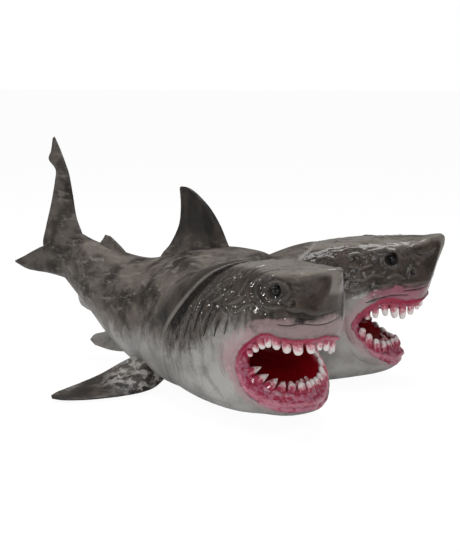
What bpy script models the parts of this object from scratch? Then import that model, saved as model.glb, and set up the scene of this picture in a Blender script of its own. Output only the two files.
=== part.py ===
"""Two-headed shark figurine: a body moulding with two collars, and a head moulding plugged into each.

Everything is in metres, with +X towards the heads, +Y to the animal's left and +Z up.
"""

import math

import bmesh
import bpy
import numpy as np
from mathutils import Vector

# Driving dimensions in metres. The first three set the body and the heads that are drawn below:
# from the tail's tip to a snout along a straight neck, across the shoulders, and to the shoulders' top.
FIGURE_LENGTH = 0.2608
BODY_WIDTH = 0.0800
BODY_HEIGHT = 0.0710
HEAD_SPREAD = math.radians(23.1)
FLAT_UNDERSIDE = -0.0006
SEAM_GAP = 0.0003
PLUG_DEPTH = 0.0100
PLUG_STEP = 0.0012
PLUG_NOSE = 0.0010
NECK_HALF_GAP = 0.0012
COLLAR_LIP = 0.0008
DORSAL_RISE = 0.0450
DORSAL_THICKNESS = 0.0070
SECOND_DORSAL_RISE = 0.0139
SECOND_DORSAL_THICKNESS = 0.0042
ANAL_DROP = 0.0085
ANAL_THICKNESS = 0.0042
TAIL_RISE = 0.0646
TAIL_REACH = 0.0488
TAIL_THICKNESS = 0.0050
PECTORAL_REACH = 0.0562
PECTORAL_THICKNESS = 0.0050
PELVIC_REACH = 0.0106
PELVIC_THICKNESS = 0.0038
UPPER_TEETH = 14
LOWER_TEETH = 13
INNER_TEETH = 5
UPPER_TOOTH = 0.0062
LOWER_TOOTH = 0.0052
INNER_TOOTH = 0.0040
UPPER_TOOTH_WIDTH = 0.0044
LOWER_TOOTH_WIDTH = 0.0034
INNER_TOOTH_WIDTH = 0.0022
TOOTH_DEPTH = 0.0028
TOOTH_ROOT_SHARE = 0.30
TOOTH_WAIST = 0.86
TOOTH_TIP = 0.40
EYE_RADIUS = 0.0028
EYE_SINK = 0.0014
EYE_ALONG = 0.1240
EYE_UP = 0.0662

# How finely the surfaces are divided.
HEAD_STEP_COUNTS = (2, 2, 2, 3, 3, 3, 3)
HEAD_ROUND_COUNT = 2
TRUNK_STEP_COUNT = 2
TRUNK_ROUND_COUNT = 24

# The gum runs from the lip this share of the way to the mouth's middle, and this far back.
GUM_STEPS = ((0.08, 0.0), (0.16, 0.0012), (0.21, 0.0042))

# The throat runs this share of the way to its end, and is narrower there by this share.
THROAT_STEPS = ((0.25, 0.05), (0.55, 0.22), (0.82, 0.50), (0.96, 0.78))

# The collar from deep in the trunk to the seam: how far back, how much wider, share of the height.
COLLAR_STEPS = ((0.040, -0.0075, 0.90), (0.028, -0.0025, 0.92), (0.016, 0.0002, 0.955),
                (0.007, COLLAR_LIP, 0.985), (0.0, COLLAR_LIP, 1.0), (-0.006, COLLAR_LIP, 1.01))

# The space cut in front of a seam: how much wider than it, how long, and how far past the middle.
CUT_WIDER = 0.008
CUT_LONGER = 0.030
CUT_PAST_MIDDLE = 0.003

# The lines from here on are drawn in millimetres, and are stretched to the sizes above.
# Half of the head in its own frame. Each line runs from the seam
# forward over the skin and ends on the lip. The middle number is the half width.
HEAD_LINES = {
    "crown": [(84, 0, 72.0), (95, 0, 73.5), (108, 0, 75.0), (122, 0, 76.4),
              (138, 0, 76.9), (150, 0, 77.0), (146.3, 0, 62.4), (142.8, 0, 49.0)],
    "brow": [(83, 12, 70.4), (94, 12, 72.4), (107, 13, 73.8), (122, 13.4, 73.6),
             (136, 10.0, 74.8), (148.2, 2.8, 76.0), (145.2, 4.4, 61.4), (141.4, 6.4, 48.3)],
    "eye": [(78, 20, 65.4), (90, 19.6, 66.5), (104, 18.2, 67.0), (121, 15.4, 66.4),
            (134, 12.2, 66.0), (144.0, 6.6, 66.6), (143.0, 8.2, 57.5), (137.0, 11.2, 47.4)],
    "cheek": [(71, 26, 56.0), (83, 25.5, 56.5), (98, 23.2, 57.0), (113, 20.0, 57.5),
              (125, 17.0, 57.5), (133.5, 13.8, 56.8), (134.8, 14.0, 51.6), (129.6, 14.4, 46.6)],
    "upper_lip": [(64, 29, 47.0), (77, 28.6, 47.0), (90, 26.6, 48.0), (103, 23.8, 50.0),
                  (112, 21.8, 50.6), (117.4, 20.7, 50.0), (119.8, 19.8, 48.3), (118.4, 18.6, 45.6)],
    "corner": [(57, 30.5, 37.0), (70, 30.0, 36.0), (82, 28.8, 35.4), (91, 27.6, 35.0),
               (97, 26.4, 34.6), (101.6, 25.2, 34.2), (104.6, 23.8, 33.6), (106.0, 21.6, 33.0)],
    "jaw_side": [(53, 30.2, 24.0), (66, 29.8, 22.0), (79, 28.8, 20.6), (91, 27.8, 19.2),
                 (101, 26.8, 18.4), (108.4, 26.0, 18.8), (112.6, 25.0, 20.4), (113.2, 23.0, 22.8)],
    "jaw": [(49, 24.5, 10.4), (63, 24.2, 9.0), (77, 23.8, 8.0), (91, 23.0, 7.6),
            (104, 21.4, 8.4), (115.2, 20.0, 11.0), (120.8, 18.8, 14.2), (121.4, 17.2, 17.6)],
    "keel": [(45, 13.5, 2.4), (60, 13.4, 1.4), (76, 13.2, 2.0), (92, 12.8, 4.0),
             (106, 12.2, 5.8), (118.6, 11.4, 8.2), (126.2, 10.6, 11.6), (127.6, 9.4, 15.4)],
    "throat": [(43, 0, 0.2), (60, 0, -0.5), (77, 0, -0.4), (94, 0, 0.9),
               (108, 0, 2.9), (120.6, 0, 6.2), (129.4, 0, 10.8), (131.4, 0, 15.4)],
}

# How far forward the seam sits on the inner side, so that the two necks stay apart, and how
# much lower the inner side of the throat hangs.
INNER_CLEARANCE = [5.0, 9.0, 14.0, 18.0]
INNER_DROP = {"keel": [0.0, 1.4, 1.8, 2.8, 2.0, 2.0, 1.8, 0.0],
              "jaw": [0.0, 0.8, 1.2, 1.4, 1.4, 1.2, 0.8, 0.0]}

# The trunk from the tail fork to between the necks: top point, bottom point, half width.
TRUNK = [
    ((-85, 63), (-88, 56), 1.2),
    ((-73, 71), (-80, 48), 3.2),
    ((-61, 72), (-70, 42.5), 5.6),
    ((-52, 68.5), (-61, 36), 8.8),
    ((-44, 66.0), (-52, 30), 12.4),
    ((-34, 63.6), (-41, 22.6), 16.6),
    ((-21, 61.0), (-27, 12.0), 21.6),
    ((-8, 60.6), (-12, 4.0), 27.0),
    ((6, 64.0), (4, -2.2), 32.0),
    ((22, 68.6), (20, -2.8), 37.0),
    ((38, 71.0), (36, -2.8), 40.0),
    ((52, 71.0), (51, -2.4), 38.0),
    ((64, 69.6), (62, 4.0), 28.0),
    ((74, 63.0), (73, 14.0), 15.0),
]

# Fin outlines: front edge, rear edge and share of the full thickness, from root to tip.
DORSAL = [((53, 0, 56), (-4, 0, 56), 1.5), ((47.5, 0, 66), (1, 0, 64), 1.25),
          ((43.8, 0, 71.5), (6.5, 0, 70), 1.0), ((38.8, 0, 81.5), (12.0, 0, 80), 0.8),
          ((32.8, 0, 90.0), (13.4, 0, 89), 0.6), ((26.0, 0, 96.2), (13.2, 0, 96), 0.42),
          ((20.8, 0, 99.6), (12.8, 0, 99.8), 0.3), ((17.2, 0, 100.9), (13.4, 0, 101.0), 0.14)]
SECOND_DORSAL = [((-21, 0, 57), (-44, 0, 60), 1.3), ((-25, 0, 62.2), (-43.5, 0, 65.2), 1.0),
                 ((-30.5, 0, 66.8), (-41.0, 0, 68.4), 0.6), ((-35.4, 0, 70.2), (-39.4, 0, 70.9), 0.25)]
ANAL = [((-40, 0, 34), (-56, 0, 42), 1.3), ((-46, 0, 25.5), (-60.5, 0, 35.5), 1.0),
        ((-52, 0, 25.6), (-60.8, 0, 32.4), 0.55), ((-57.2, 0, 27.4), (-59.9, 0, 29.6), 0.25)]
TAIL_UPPER = [((-54, 0, 60), (-82, 0, 50), 1.7), ((-56.5, 0, 69.5), (-87.0, 0, 61), 1.3),
              ((-60.6, 0, 79.3), (-84.6, 0, 71), 1.0), ((-62.9, 0, 92), (-79.6, 0, 86), 0.82),
              ((-65.2, 0, 103.4), (-75.9, 0, 100), 0.66), ((-67.4, 0, 109), (-75.4, 0, 106), 0.55),
              ((-69.4, 0, 113.8), (-80.4, 0, 111.6), 0.45), ((-72.2, 0, 119.4), (-78.4, 0, 116.6), 0.32),
              ((-75.2, 0, 124.6), (-76.8, 0, 123.8), 0.16)]
TAIL_LOWER = [((-62, 0, 41), (-70, 0, 64), 1.7), ((-72, 0, 43.2), (-86.5, 0, 60.4), 1.25),
              ((-84, 0, 44.4), (-92.5, 0, 58.0), 0.95), ((-93, 0, 44.6), (-98.4, 0, 55.2), 0.7),
              ((-101, 0, 45.2), (-104.0, 0, 52.4), 0.45), ((-110.2, 0, 48.2), (-110.8, 0, 49.4), 0.2)]
PECTORAL = [((26, -22, 11), (6, -20, 19), 1.4), ((24, -35, 3.4), (6, -29, 15.2), 1.3),
            ((22.5, -45, 2.0), (-1.5, -35.5, 10.2), 1.15), ((18.0, -54.5, 1.6), (-6.5, -44.5, 6.0), 0.9),
            ((13.0, -62.0, 1.4), (-10.4, -53.6, 3.6), 0.66), ((6.0, -70.3, 1.3), (-12.6, -62.6, 2.4), 0.5),
            ((-2.6, -76.6, 1.2), (-14.0, -69.6, 1.7), 0.34), ((-9.6, -77.6, 1.0), (-13.4, -75.0, 1.2), 0.2)]
PELVIC = [((-8, -10, 14), (-26, -9, 22), 1.5), ((-12, -14.5, 10.6), (-29, -14, 19.2), 1.1),
          ((-21, -18.5, 10.6), (-33, -18, 18.0), 0.7), ((-31.0, -20.6, 12.6), (-35.0, -20.2, 15.2), 0.3)]

MOUTH_MIDDLE = (118.0, 0.0, 32.0)
THROAT_END = (86.0, 0.0, 31.0)

# How far the drawn lines are stretched along, across and up.
SNOUT_TIP = HEAD_LINES["crown"][5]
TAIL_TIP = TAIL_LOWER[-1][1]
SHOULDER_TOP, SHOULDER_BOTTOM, SHOULDER_HALF_WIDTH = TRUNK[10]
DRAWN = 0.001 * np.array([SNOUT_TIP[0] - TAIL_TIP[0], 2 * SHOULDER_HALF_WIDTH, SHOULDER_TOP[1]])
STRETCH = np.array([FIGURE_LENGTH, BODY_WIDTH, BODY_HEIGHT]) / DRAWN
REAL = 0.001 * STRETCH


def clear_scene():
    for thing in list(bpy.data.objects):
        bpy.data.objects.remove(thing, do_unlink=True)


def smooth_through(points, per_segment, closed=False):
    """A Catmull-Rom curve through the points, with this many steps between each two."""
    points = np.asarray(points, float)
    count = len(points)
    if closed:
        before = points[-1:]
        after = points[:2]
    else:
        before = 2 * points[:1] - points[1:2]
        after = 2 * points[-1:] - points[-2:-1]
    padded = np.concatenate([before, points, after])
    segments = count if closed else count - 1
    out = []
    for k in range(segments):
        p0, p1, p2, p3 = padded[k:k + 4]
        steps = per_segment[k] if isinstance(per_segment, tuple) else int(per_segment)
        for step in range(steps):
            t = step / steps
            out.append(0.5 * (2 * p1 + (p2 - p0) * t
                              + (2 * p0 - 5 * p1 + 4 * p2 - p3) * t * t
                              + (3 * p1 - p0 - 3 * p2 + p3) * t ** 3))
    if not closed:
        out.append(points[-1])
    return np.array(out)


def tube_mesh(rings):
    """Vertices and faces of a tube through rings of equal count, closed by a fan at each end."""
    rings = [np.asarray(ring, float) for ring in rings]
    count = len(rings[0])
    vertices = np.concatenate(rings + [rings[0].mean(0)[None], rings[-1].mean(0)[None]])
    faces = []
    for r in range(len(rings) - 1):
        for k in range(count):
            n = (k + 1) % count
            faces.append((r * count + k, r * count + n, (r + 1) * count + n, (r + 1) * count + k))
    first = len(rings) * count
    last = (len(rings) - 1) * count
    for k in range(count):
        n = (k + 1) % count
        faces.append((first, n, k))
        faces.append((first + 1, last + k, last + n))
    return vertices, faces


def make_object(name, vertices, faces):
    """A mesh object whose faces point outwards."""
    mesh = bpy.data.meshes.new(name)
    mesh.from_pydata([tuple(v) for v in vertices], [], faces)
    built = bmesh.new()
    built.from_mesh(mesh)
    bmesh.ops.triangulate(built, faces=built.faces)
    bmesh.ops.recalc_face_normals(built, faces=built.faces)
    if built.calc_volume(signed=True) < 0:
        bmesh.ops.reverse_faces(built, faces=built.faces)
    built.to_mesh(mesh)
    built.free()
    made = bpy.data.objects.new(name, mesh)
    bpy.context.collection.objects.link(made)
    return made


def as_tool(thing):
    thing.hide_render = True
    thing.display_type = "WIRE"
    return thing


def combine(target, tool, operation):
    """One exact Boolean, applied at once, after which the tool is removed."""
    step = target.modifiers.new(operation.lower(), "BOOLEAN")
    step.operation = operation
    step.solver = "EXACT"
    step.use_self = True
    step.object = as_tool(tool)
    bpy.context.view_layer.update()
    graph = bpy.context.evaluated_depsgraph_get()
    result = bpy.data.meshes.new_from_object(target.evaluated_get(graph))
    target.modifiers.remove(step)
    target.data = result
    bpy.data.objects.remove(tool, do_unlink=True)
    built = bmesh.new()
    built.from_mesh(result)
    bmesh.ops.remove_doubles(built, verts=built.verts, dist=1e-5)
    bmesh.ops.dissolve_degenerate(built, edges=built.edges, dist=1e-5)
    bmesh.ops.holes_fill(built, edges=[edge for edge in built.edges if edge.is_boundary])
    bmesh.ops.triangulate(built, faces=built.faces)
    built.to_mesh(result)
    built.free()
    return target


def to_world(points):
    """From the right head's own frame to the whole object's frame."""
    c = math.cos(HEAD_SPREAD)
    s = math.sin(HEAD_SPREAD)
    points = np.asarray(points, float)
    return np.stack([points[:, 0] * c + points[:, 1] * s,
                     -points[:, 0] * s + points[:, 1] * c, points[:, 2]], axis=1)


def head_rings():
    """The skin of the right head as rings from the seam to the lip, in its own frame."""
    lines = [np.array(line, float) for line in HEAD_LINES.values()]
    outer = [line * (1, -1, 1) for line in lines]
    slope = math.cos(HEAD_SPREAD) / math.sin(HEAD_SPREAD)
    inner = []
    for name, line in list(zip(HEAD_LINES, lines))[-2:0:-1]:
        moved = line.copy()
        moved[:, 2] -= np.array(INNER_DROP.get(name, 0.0))
        for k, clearance in enumerate(INNER_CLEARANCE):
            moved[k, 0] = max(moved[k, 0], moved[k, 1] * slope + clearance)
        inner.append(moved)
    columns = [smooth_through(line, HEAD_STEP_COUNTS) for line in outer + inner]
    rings = []
    for r in range(len(columns[0])):
        rings.append(smooth_through([column[r] for column in columns], HEAD_ROUND_COUNT, closed=True))
    return [flat_below(ring * REAL, 0.0001) for ring in rings]


def flat_below(ring, above):
    """Flattens the underside, this far above the flat that the body rests on."""
    ring = ring.copy()
    ring[:, 2] = np.maximum(ring[:, 2], FLAT_UNDERSIDE + above)
    return ring


def resized(ring, change):
    """The ring with each point moved away from the ring's middle by this much."""
    away = ring - ring.mean(0)
    away[:, 0] = 0
    length = np.linalg.norm(away, axis=1, keepdims=True)
    return ring + away / length * change


def mouth_rings(lip):
    """From the lip over the gum and down the mouth to the throat."""
    centre = np.array(MOUTH_MIDDLE) * REAL
    throat = np.array(THROAT_END) * REAL
    rings = []
    for inward, back in GUM_STEPS:
        rings.append(lip + (centre - lip) * inward - np.array([back, 0, 0]))
    wall = rings[-1]
    for along, narrow in THROAT_STEPS:
        middle = centre + (throat - centre) * along
        shape = (wall - centre) * (1 - narrow)
        shape[:, 0] *= 1 - along
        rings.append(middle + shape)
    return rings


def tooth(base, direction, across, length, width, thickness):
    """A blunt five-sided tooth standing on a base point."""
    direction = np.asarray(direction, float) / np.linalg.norm(direction)
    across = np.asarray(across, float)
    across = across - direction * (across @ direction)
    across /= np.linalg.norm(across)
    through = np.cross(direction, across)
    rings = []
    for height, size in ((-TOOTH_ROOT_SHARE, 1.0), (0.45, TOOTH_WAIST), (1.0, TOOTH_TIP)):
        ring = []
        for k in range(5):
            a = 2 * math.pi * (k + 0.25) / 5
            ring.append(base + direction * length * height
                        + across * math.cos(a) * width / 2 * size
                        + through * math.sin(a) * thickness / 2 * size)
        rings.append(ring)
    vertices = np.concatenate(rings)
    faces = []
    for r in range(2):
        for k in range(5):
            n = (k + 1) % 5
            faces.append((r * 5 + k, r * 5 + n, r * 5 + 5 + n, r * 5 + 5 + k))
    faces.append((4, 3, 2, 1, 0))
    faces.append((10, 11, 12, 13, 14))
    return vertices, faces


def spaced(curve, count, first, last):
    """Points and directions at even distances along part of a curve."""
    steps = np.linalg.norm(np.diff(curve, axis=0), axis=1)
    run = np.concatenate([[0], np.cumsum(steps)])
    places = np.linspace(first, last, count) * run[-1]
    at = np.stack([np.interp(places, run, curve[:, a]) for a in range(3)], axis=1)
    ahead = np.stack([np.interp(places + run[-1] * 0.01, run, curve[:, a]) for a in range(3)], axis=1)
    behind = np.stack([np.interp(places - run[-1] * 0.01, run, curve[:, a]) for a in range(3)], axis=1)
    return at, ahead - behind


def teeth_of(gum, wall):
    """All the teeth of one head, as one list of shapes."""
    count = len(gum)
    corner = 5 * HEAD_ROUND_COUNT
    upper = list(range(-corner, corner + 1))
    lower = list(range(corner, count - corner + 1))
    centre = np.array(MOUTH_MIDDLE) * REAL
    shapes = []
    rows = (
        (gum, upper, UPPER_TEETH, 0.075, 0.925, UPPER_TOOTH, UPPER_TOOTH_WIDTH, (0.10, 0, -1.0), 0.12, 0.0),
        (gum, lower, LOWER_TEETH, 0.10, 0.90, LOWER_TOOTH, LOWER_TOOTH_WIDTH, (0.10, 0, 0.9), 0.45, 0.75),
        (wall, lower, INNER_TEETH, 0.36, 0.64, INNER_TOOTH, INNER_TOOTH_WIDTH, (0.0, 0, 0.9), 0.75, 0.0),
    )
    for ring, columns, number, first, last, length, width, lean, inward, side_growth in rows:
        line = np.array([ring[c % count] for c in columns])
        at, along = spaced(line, number, first, last)
        for k in range(number):
            share = abs(2 * (k + 0.5) / number - 1)
            size = min(1.1, 0.74 + (1 - share)) * (1.05 if k % 2 else 0.95)
            long = length * size * (1 + side_growth * share)
            level = centre - at[k]
            level[2] = 0
            level /= np.linalg.norm(level)
            direction = np.array(lean) + level * inward * (1 + 2 * side_growth * share)
            shapes.append(tooth(at[k], direction, along[k], long, width * size, TOOTH_DEPTH * size))
    return shapes


def ball(centre, radius, across=8, rows=6):
    rings = []
    for r in range(1, rows):
        a = math.pi * r / rows
        rings.append([np.array(centre) + radius * np.array(
            [math.sin(a) * math.cos(b), math.sin(a) * math.sin(b), math.cos(a)])
            for b in np.linspace(0, 2 * math.pi, across, endpoint=False)])
    return tube_mesh(rings)


def joined(name, shapes):
    """Several separate closed shapes in one mesh."""
    vertices = []
    faces = []
    for shape_vertices, shape_faces in shapes:
        start = len(vertices)
        vertices.extend(shape_vertices)
        faces.extend([tuple(i + start for i in face) for face in shape_faces])
    return make_object(name, vertices, faces)


def eye_centre():
    """A point just under the skin of the cheek, in the head's own frame."""
    skin = np.concatenate(head_rings())
    cheek = skin[skin[:, 1] < 0]
    place = np.array([EYE_ALONG, EYE_UP]) * STRETCH[[0, 2]]
    away = np.linalg.norm(cheek[:, [0, 2]] - place, axis=1)
    near = np.argsort(away)[:4]
    weight = 1 / (away[near] + 1e-6)
    side = (cheek[near, 1] * weight).sum() / weight.sum()
    return np.array([place[0], side + EYE_SINK, place[1]])


def keep_right(points, furthest):
    """Holds the points on the right of the middle of the object."""
    points = points.copy()
    points[:, 1] = np.minimum(points[:, 1], furthest)
    return points


def plug_rings(seam, gap):
    """The plug behind a seam, as the head has it with no gap and as the collar's socket has it."""
    behind = seam - np.array([gap, 0, 0])
    back = behind - np.array([PLUG_DEPTH, 0, 0])
    nose = np.array([PLUG_NOSE, 0, 0])
    rings = [resized(back, gap - 3 * PLUG_STEP), resized(back, gap - 2 * PLUG_STEP) + nose,
             resized(behind, gap - PLUG_STEP)]
    return [keep_right(to_world(ring), gap - NECK_HALF_GAP) for ring in rings]


def make_right_head():
    rings = head_rings()
    mouth = mouth_rings(rings[-1])
    world = plug_rings(rings[0], 0.0)
    world += [to_world(ring) for ring in rings + mouth]
    head = make_object("right_head", *tube_mesh(world))
    shapes = [(to_world(v), f) for v, f in teeth_of(mouth[1], mouth[2])]
    head = combine(head, joined("teeth", shapes), "UNION")
    eyes = []
    for side in (-1, 1):
        centre = eye_centre()[None] * (1, side, 1)
        eyes.append(ball(to_world(centre)[0], EYE_RADIUS))
    return combine(head, joined("eyes", eyes), "UNION")


def make_seam_cutter():
    """The space that a head takes up in its collar, with the gap, and all that lies in front."""
    seam = head_rings()[0]
    behind = resized(seam - np.array([SEAM_GAP, 0, 0]), CUT_WIDER)
    ahead = behind + np.array([CUT_LONGER, 0, 0])
    front = [keep_right(to_world(ring), CUT_PAST_MIDDLE) for ring in (behind, ahead)]
    return tube_mesh(plug_rings(seam, SEAM_GAP) + front)


def make_collar():
    """The neck of the body, standing a little proud of the head at the seam."""
    seam = head_rings()[0]
    rings = []
    for back, change, height in COLLAR_STEPS:
        ring = resized(seam, change) - np.array([back, 0, 0])
        ring[:, 2] *= height
        rings.append(to_world(flat_below(ring, 0.0002)))
    return tube_mesh(rings)


def mirrored(shape):
    vertices, faces = shape
    return np.asarray(vertices) * (1, -1, 1), faces


def trunk():
    top = smooth_through([(t[0], t[1]) for t, b, w in TRUNK], TRUNK_STEP_COUNT)
    bottom = smooth_through([(b[0], b[1]) for t, b, w in TRUNK], TRUNK_STEP_COUNT)
    wide = smooth_through([(w, 0) for t, b, w in TRUNK], TRUNK_STEP_COUNT)[:, 0]
    rings = []
    for t, b, w in zip(top, bottom, wide):
        middle = (t + b) / 2
        half = (t - b) / 2
        ring = []
        for a in np.linspace(0, 2 * math.pi, TRUNK_ROUND_COUNT, endpoint=False):
            up = math.cos(a)
            side = math.sin(a)
            ring.append((middle[0] + half[0] * up, w * side * (1 - 0.10 * up), middle[1] + half[1] * up))
        rings.append(flat_below(np.array(ring) * REAL, 0.0))
    return tube_mesh(rings)


def reaching(sections, axis, reach):
    """The drawn fin in metres, stretched on one axis so that it reaches this far from its root."""
    fronts = np.array([front for front, rear, share in sections], float) * REAL
    rears = np.array([rear for front, rear, share in sections], float) * REAL
    root = fronts[0, axis]
    drawn = np.abs(np.concatenate([fronts, rears])[:, axis] - root).max()
    for side in (fronts, rears):
        side[:, axis] = root + (side[:, axis] - root) * reach / drawn
    return [(front, rear, share) for front, rear, (_, _, share) in zip(fronts, rears, sections)]


def fin(sections, thickness, through):
    """A fin lofted from its root to its tip, thickest a third of the way back."""
    through = np.array(through, float)
    through /= np.linalg.norm(through)
    profile = ((0.0, 0.0), (0.10, 0.62), (0.34, 1.0), (0.70, 0.62), (1.0, 0.10),
               (1.0, -0.10), (0.70, -0.62), (0.34, -1.0), (0.10, -0.62))
    rings = []
    for front, rear, share in sections:
        rings.append([front + (rear - front) * along + through * side * thickness / 2 * share
                      for along, side in profile])
    return tube_mesh(rings)


def make_body():
    body = make_object("body", *trunk())
    upright = (0, 1, 0)
    pectoral = fin(reaching(PECTORAL, 1, PECTORAL_REACH), PECTORAL_THICKNESS, (0.25, 0.30, 1.0))
    pelvic = fin(reaching(PELVIC, 1, PELVIC_REACH), PELVIC_THICKNESS, (0.4, -0.75, 0.6))
    parts = [
        make_collar(), mirrored(make_collar()),
        fin(reaching(DORSAL, 2, DORSAL_RISE), DORSAL_THICKNESS, upright),
        fin(reaching(SECOND_DORSAL, 2, SECOND_DORSAL_RISE), SECOND_DORSAL_THICKNESS, upright),
        fin(reaching(ANAL, 2, ANAL_DROP), ANAL_THICKNESS, upright),
        fin(reaching(TAIL_UPPER, 2, TAIL_RISE), TAIL_THICKNESS, upright),
        fin(reaching(TAIL_LOWER, 0, TAIL_REACH), TAIL_THICKNESS, upright),
        pectoral, mirrored(pectoral), pelvic, mirrored(pelvic),
    ]
    body = combine(body, joined("fins_and_collars", parts), "UNION")
    for shape in (make_seam_cutter(), mirrored(make_seam_cutter())):
        body = combine(body, make_object("cutter", *shape), "DIFFERENCE")
    return body


def colour(thing, name, rgb, roughness):
    material = bpy.data.materials.new(name)
    material.use_nodes = True
    shader = material.node_tree.nodes["Principled BSDF"]
    shader.inputs["Base Color"].default_value = (*rgb, 1)
    shader.inputs["Roughness"].default_value = roughness
    thing.data.materials.clear()
    thing.data.materials.append(material)


def mirror_object(source, name):
    copy = source.copy()
    copy.data = source.data.copy()
    copy.name = name
    bpy.context.collection.objects.link(copy)
    built = bmesh.new()
    built.from_mesh(copy.data)
    for vertex in built.verts:
        vertex.co.y = -vertex.co.y
    bmesh.ops.reverse_faces(built, faces=built.faces)
    built.to_mesh(copy.data)
    built.free()
    return copy


def settle(things):
    """Puts the middle of the footprint at the origin and the lowest point on the ground."""
    points = np.array([thing.matrix_world @ v.co for thing in things for v in thing.data.vertices])
    low = points.min(0)
    high = points.max(0)
    shift = Vector((-(low[0] + high[0]) / 2, 0, -low[2]))
    for thing in things:
        for vertex in thing.data.vertices:
            vertex.co += shift
    print("length, width and height", high - low)
    print("moved by", tuple(shift))


clear_scene()
body = make_body()
right_head = make_right_head()
left_head = mirror_object(right_head, "left_head")
settle([body, right_head, left_head])
colour(body, "painted_grey_body", (0.09, 0.08, 0.07), 0.40)
colour(right_head, "painted_right_head", (0.12, 0.10, 0.09), 0.25)
colour(left_head, "painted_left_head", (0.12, 0.10, 0.09), 0.25)
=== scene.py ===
# %% [markdown]
# # A painted two-headed shark figurine
# The real figure is soft vinyl, cast in three hollow mouldings: a body with its fins, and two
# heads that are plugged into collars on the body and glued. It is sprayed dark over pale grey,
# and the mouths are painted by hand. The packed model gives the frame, the sizes and the
# places. Over its three solids go finer skins. Each is a smooth surface through a few guide
# lines, with folds pressed into it and paint laid over it.

# %% Load the frame and keep its box
import math

import bmesh
import bpy
import numpy as np
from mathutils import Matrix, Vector, noise
from mathutils.bvhtree import BVHTree


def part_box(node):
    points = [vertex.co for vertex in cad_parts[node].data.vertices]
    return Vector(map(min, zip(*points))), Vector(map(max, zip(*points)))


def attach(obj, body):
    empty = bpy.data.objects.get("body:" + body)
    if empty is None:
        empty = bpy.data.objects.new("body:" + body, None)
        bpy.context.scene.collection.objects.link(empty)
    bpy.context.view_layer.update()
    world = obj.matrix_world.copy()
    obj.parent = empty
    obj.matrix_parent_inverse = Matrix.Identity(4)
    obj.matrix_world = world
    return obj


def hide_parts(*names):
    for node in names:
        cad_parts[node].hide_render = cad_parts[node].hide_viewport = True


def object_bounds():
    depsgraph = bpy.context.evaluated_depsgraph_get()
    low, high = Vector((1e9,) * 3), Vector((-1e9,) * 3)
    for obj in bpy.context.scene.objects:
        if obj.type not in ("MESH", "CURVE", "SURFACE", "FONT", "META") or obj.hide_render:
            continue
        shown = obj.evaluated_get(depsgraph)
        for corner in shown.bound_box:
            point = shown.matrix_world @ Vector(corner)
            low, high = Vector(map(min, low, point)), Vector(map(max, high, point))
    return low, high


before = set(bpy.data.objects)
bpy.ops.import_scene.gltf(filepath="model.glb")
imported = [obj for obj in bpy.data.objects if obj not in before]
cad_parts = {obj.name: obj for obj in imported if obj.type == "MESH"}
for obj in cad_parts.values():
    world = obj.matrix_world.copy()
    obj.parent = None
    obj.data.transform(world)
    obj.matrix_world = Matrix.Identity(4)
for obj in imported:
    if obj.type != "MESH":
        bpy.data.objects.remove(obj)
box_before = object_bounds()
print("CAD box:", box_before)

# %% [markdown]
# ## The guide lines
# Both heads are the same sculpture, mirrored, so one set of lines serves for both. Half of a
# head is ten lines that run from the seam at the neck forward to the lip, in millimetres in the
# head's own frame. It could be sculpted freely, but lines can be measured and changed one by
# one, and they are the lines that the solids are made from. The heads spread apart from one
# point on the middle plane, and the inner half of each starts further forward, clear of it.

# %% Guide lines of a head
HEAD_SPREAD = math.radians(23.1)
HEAD_LINES = {
    "crown": [(84, 0, 72.0), (95, 0, 73.5), (108, 0, 75.0), (122, 0, 76.4),
              (138, 0, 76.9), (150, 0, 77.0), (146.3, 0, 61.6), (142.2, 0, 46.8)],
    "brow": [(83, 12, 70.4), (94, 12, 72.4), (107, 13, 73.8), (122, 13.4, 73.6),
             (136, 10.0, 74.8), (148.2, 2.8, 76.0), (145.2, 4.4, 60.6), (140.8, 6.4, 46.2)],
    "eye": [(78, 20, 65.4), (90, 19.6, 66.5), (104, 18.2, 67.0), (121, 15.4, 66.4),
            (134, 12.2, 66.0), (144.0, 6.6, 66.6), (143.0, 8.2, 56.9), (136.6, 11.2, 45.6)],
    "cheek": [(71, 26, 56.0), (83, 25.5, 56.5), (98, 23.2, 57.0), (113, 20.0, 57.5),
              (125, 17.0, 57.5), (133.5, 13.8, 56.8), (134.8, 14.0, 51.2), (129.4, 14.4, 45.4)],
    "upper_lip": [(64, 29, 47.0), (77, 28.6, 47.0), (90, 26.6, 48.0), (103, 23.8, 50.0),
                  (112, 21.8, 50.6), (117.4, 20.7, 50.0), (119.8, 19.8, 48.3), (118.4, 18.6, 45.6)],
    "corner": [(57, 30.5, 37.0), (70, 30.0, 36.0), (82, 28.8, 35.4), (91, 27.6, 35.0),
               (97, 26.4, 34.6), (101.6, 25.2, 34.2), (104.6, 23.8, 33.6), (106.0, 21.6, 33.0)],
    "jaw_side": [(53, 30.2, 24.0), (66, 29.8, 22.0), (79, 28.8, 20.6), (91, 27.8, 19.2),
                 (101, 26.8, 18.4), (108.4, 26.0, 18.8), (112.6, 25.0, 20.4), (113.2, 23.0, 22.8)],
    "jaw": [(49, 24.5, 10.4), (63, 24.2, 9.0), (77, 23.8, 8.0), (91, 23.0, 7.6),
            (104, 21.4, 8.4), (115.2, 20.0, 11.0), (120.8, 18.8, 14.2), (121.4, 17.2, 17.6)],
    "keel": [(45, 13.5, 2.4), (60, 13.4, 1.4), (76, 13.2, 2.0), (92, 12.8, 4.0),
             (106, 12.2, 5.8), (118.6, 11.4, 8.2), (126.2, 10.6, 11.6), (127.6, 9.4, 15.4)],
    "throat": [(43, 0, 0.2), (60, 0, -0.5), (77, 0, -0.4), (94, 0, 0.9),
               (108, 0, 2.9), (120.6, 0, 6.2), (129.4, 0, 10.8), (131.4, 0, 15.4)],
}
LINES_ROUND = 2 * (len(HEAD_LINES) - 1)
STATIONS = len(HEAD_LINES["crown"]) - 1
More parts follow.
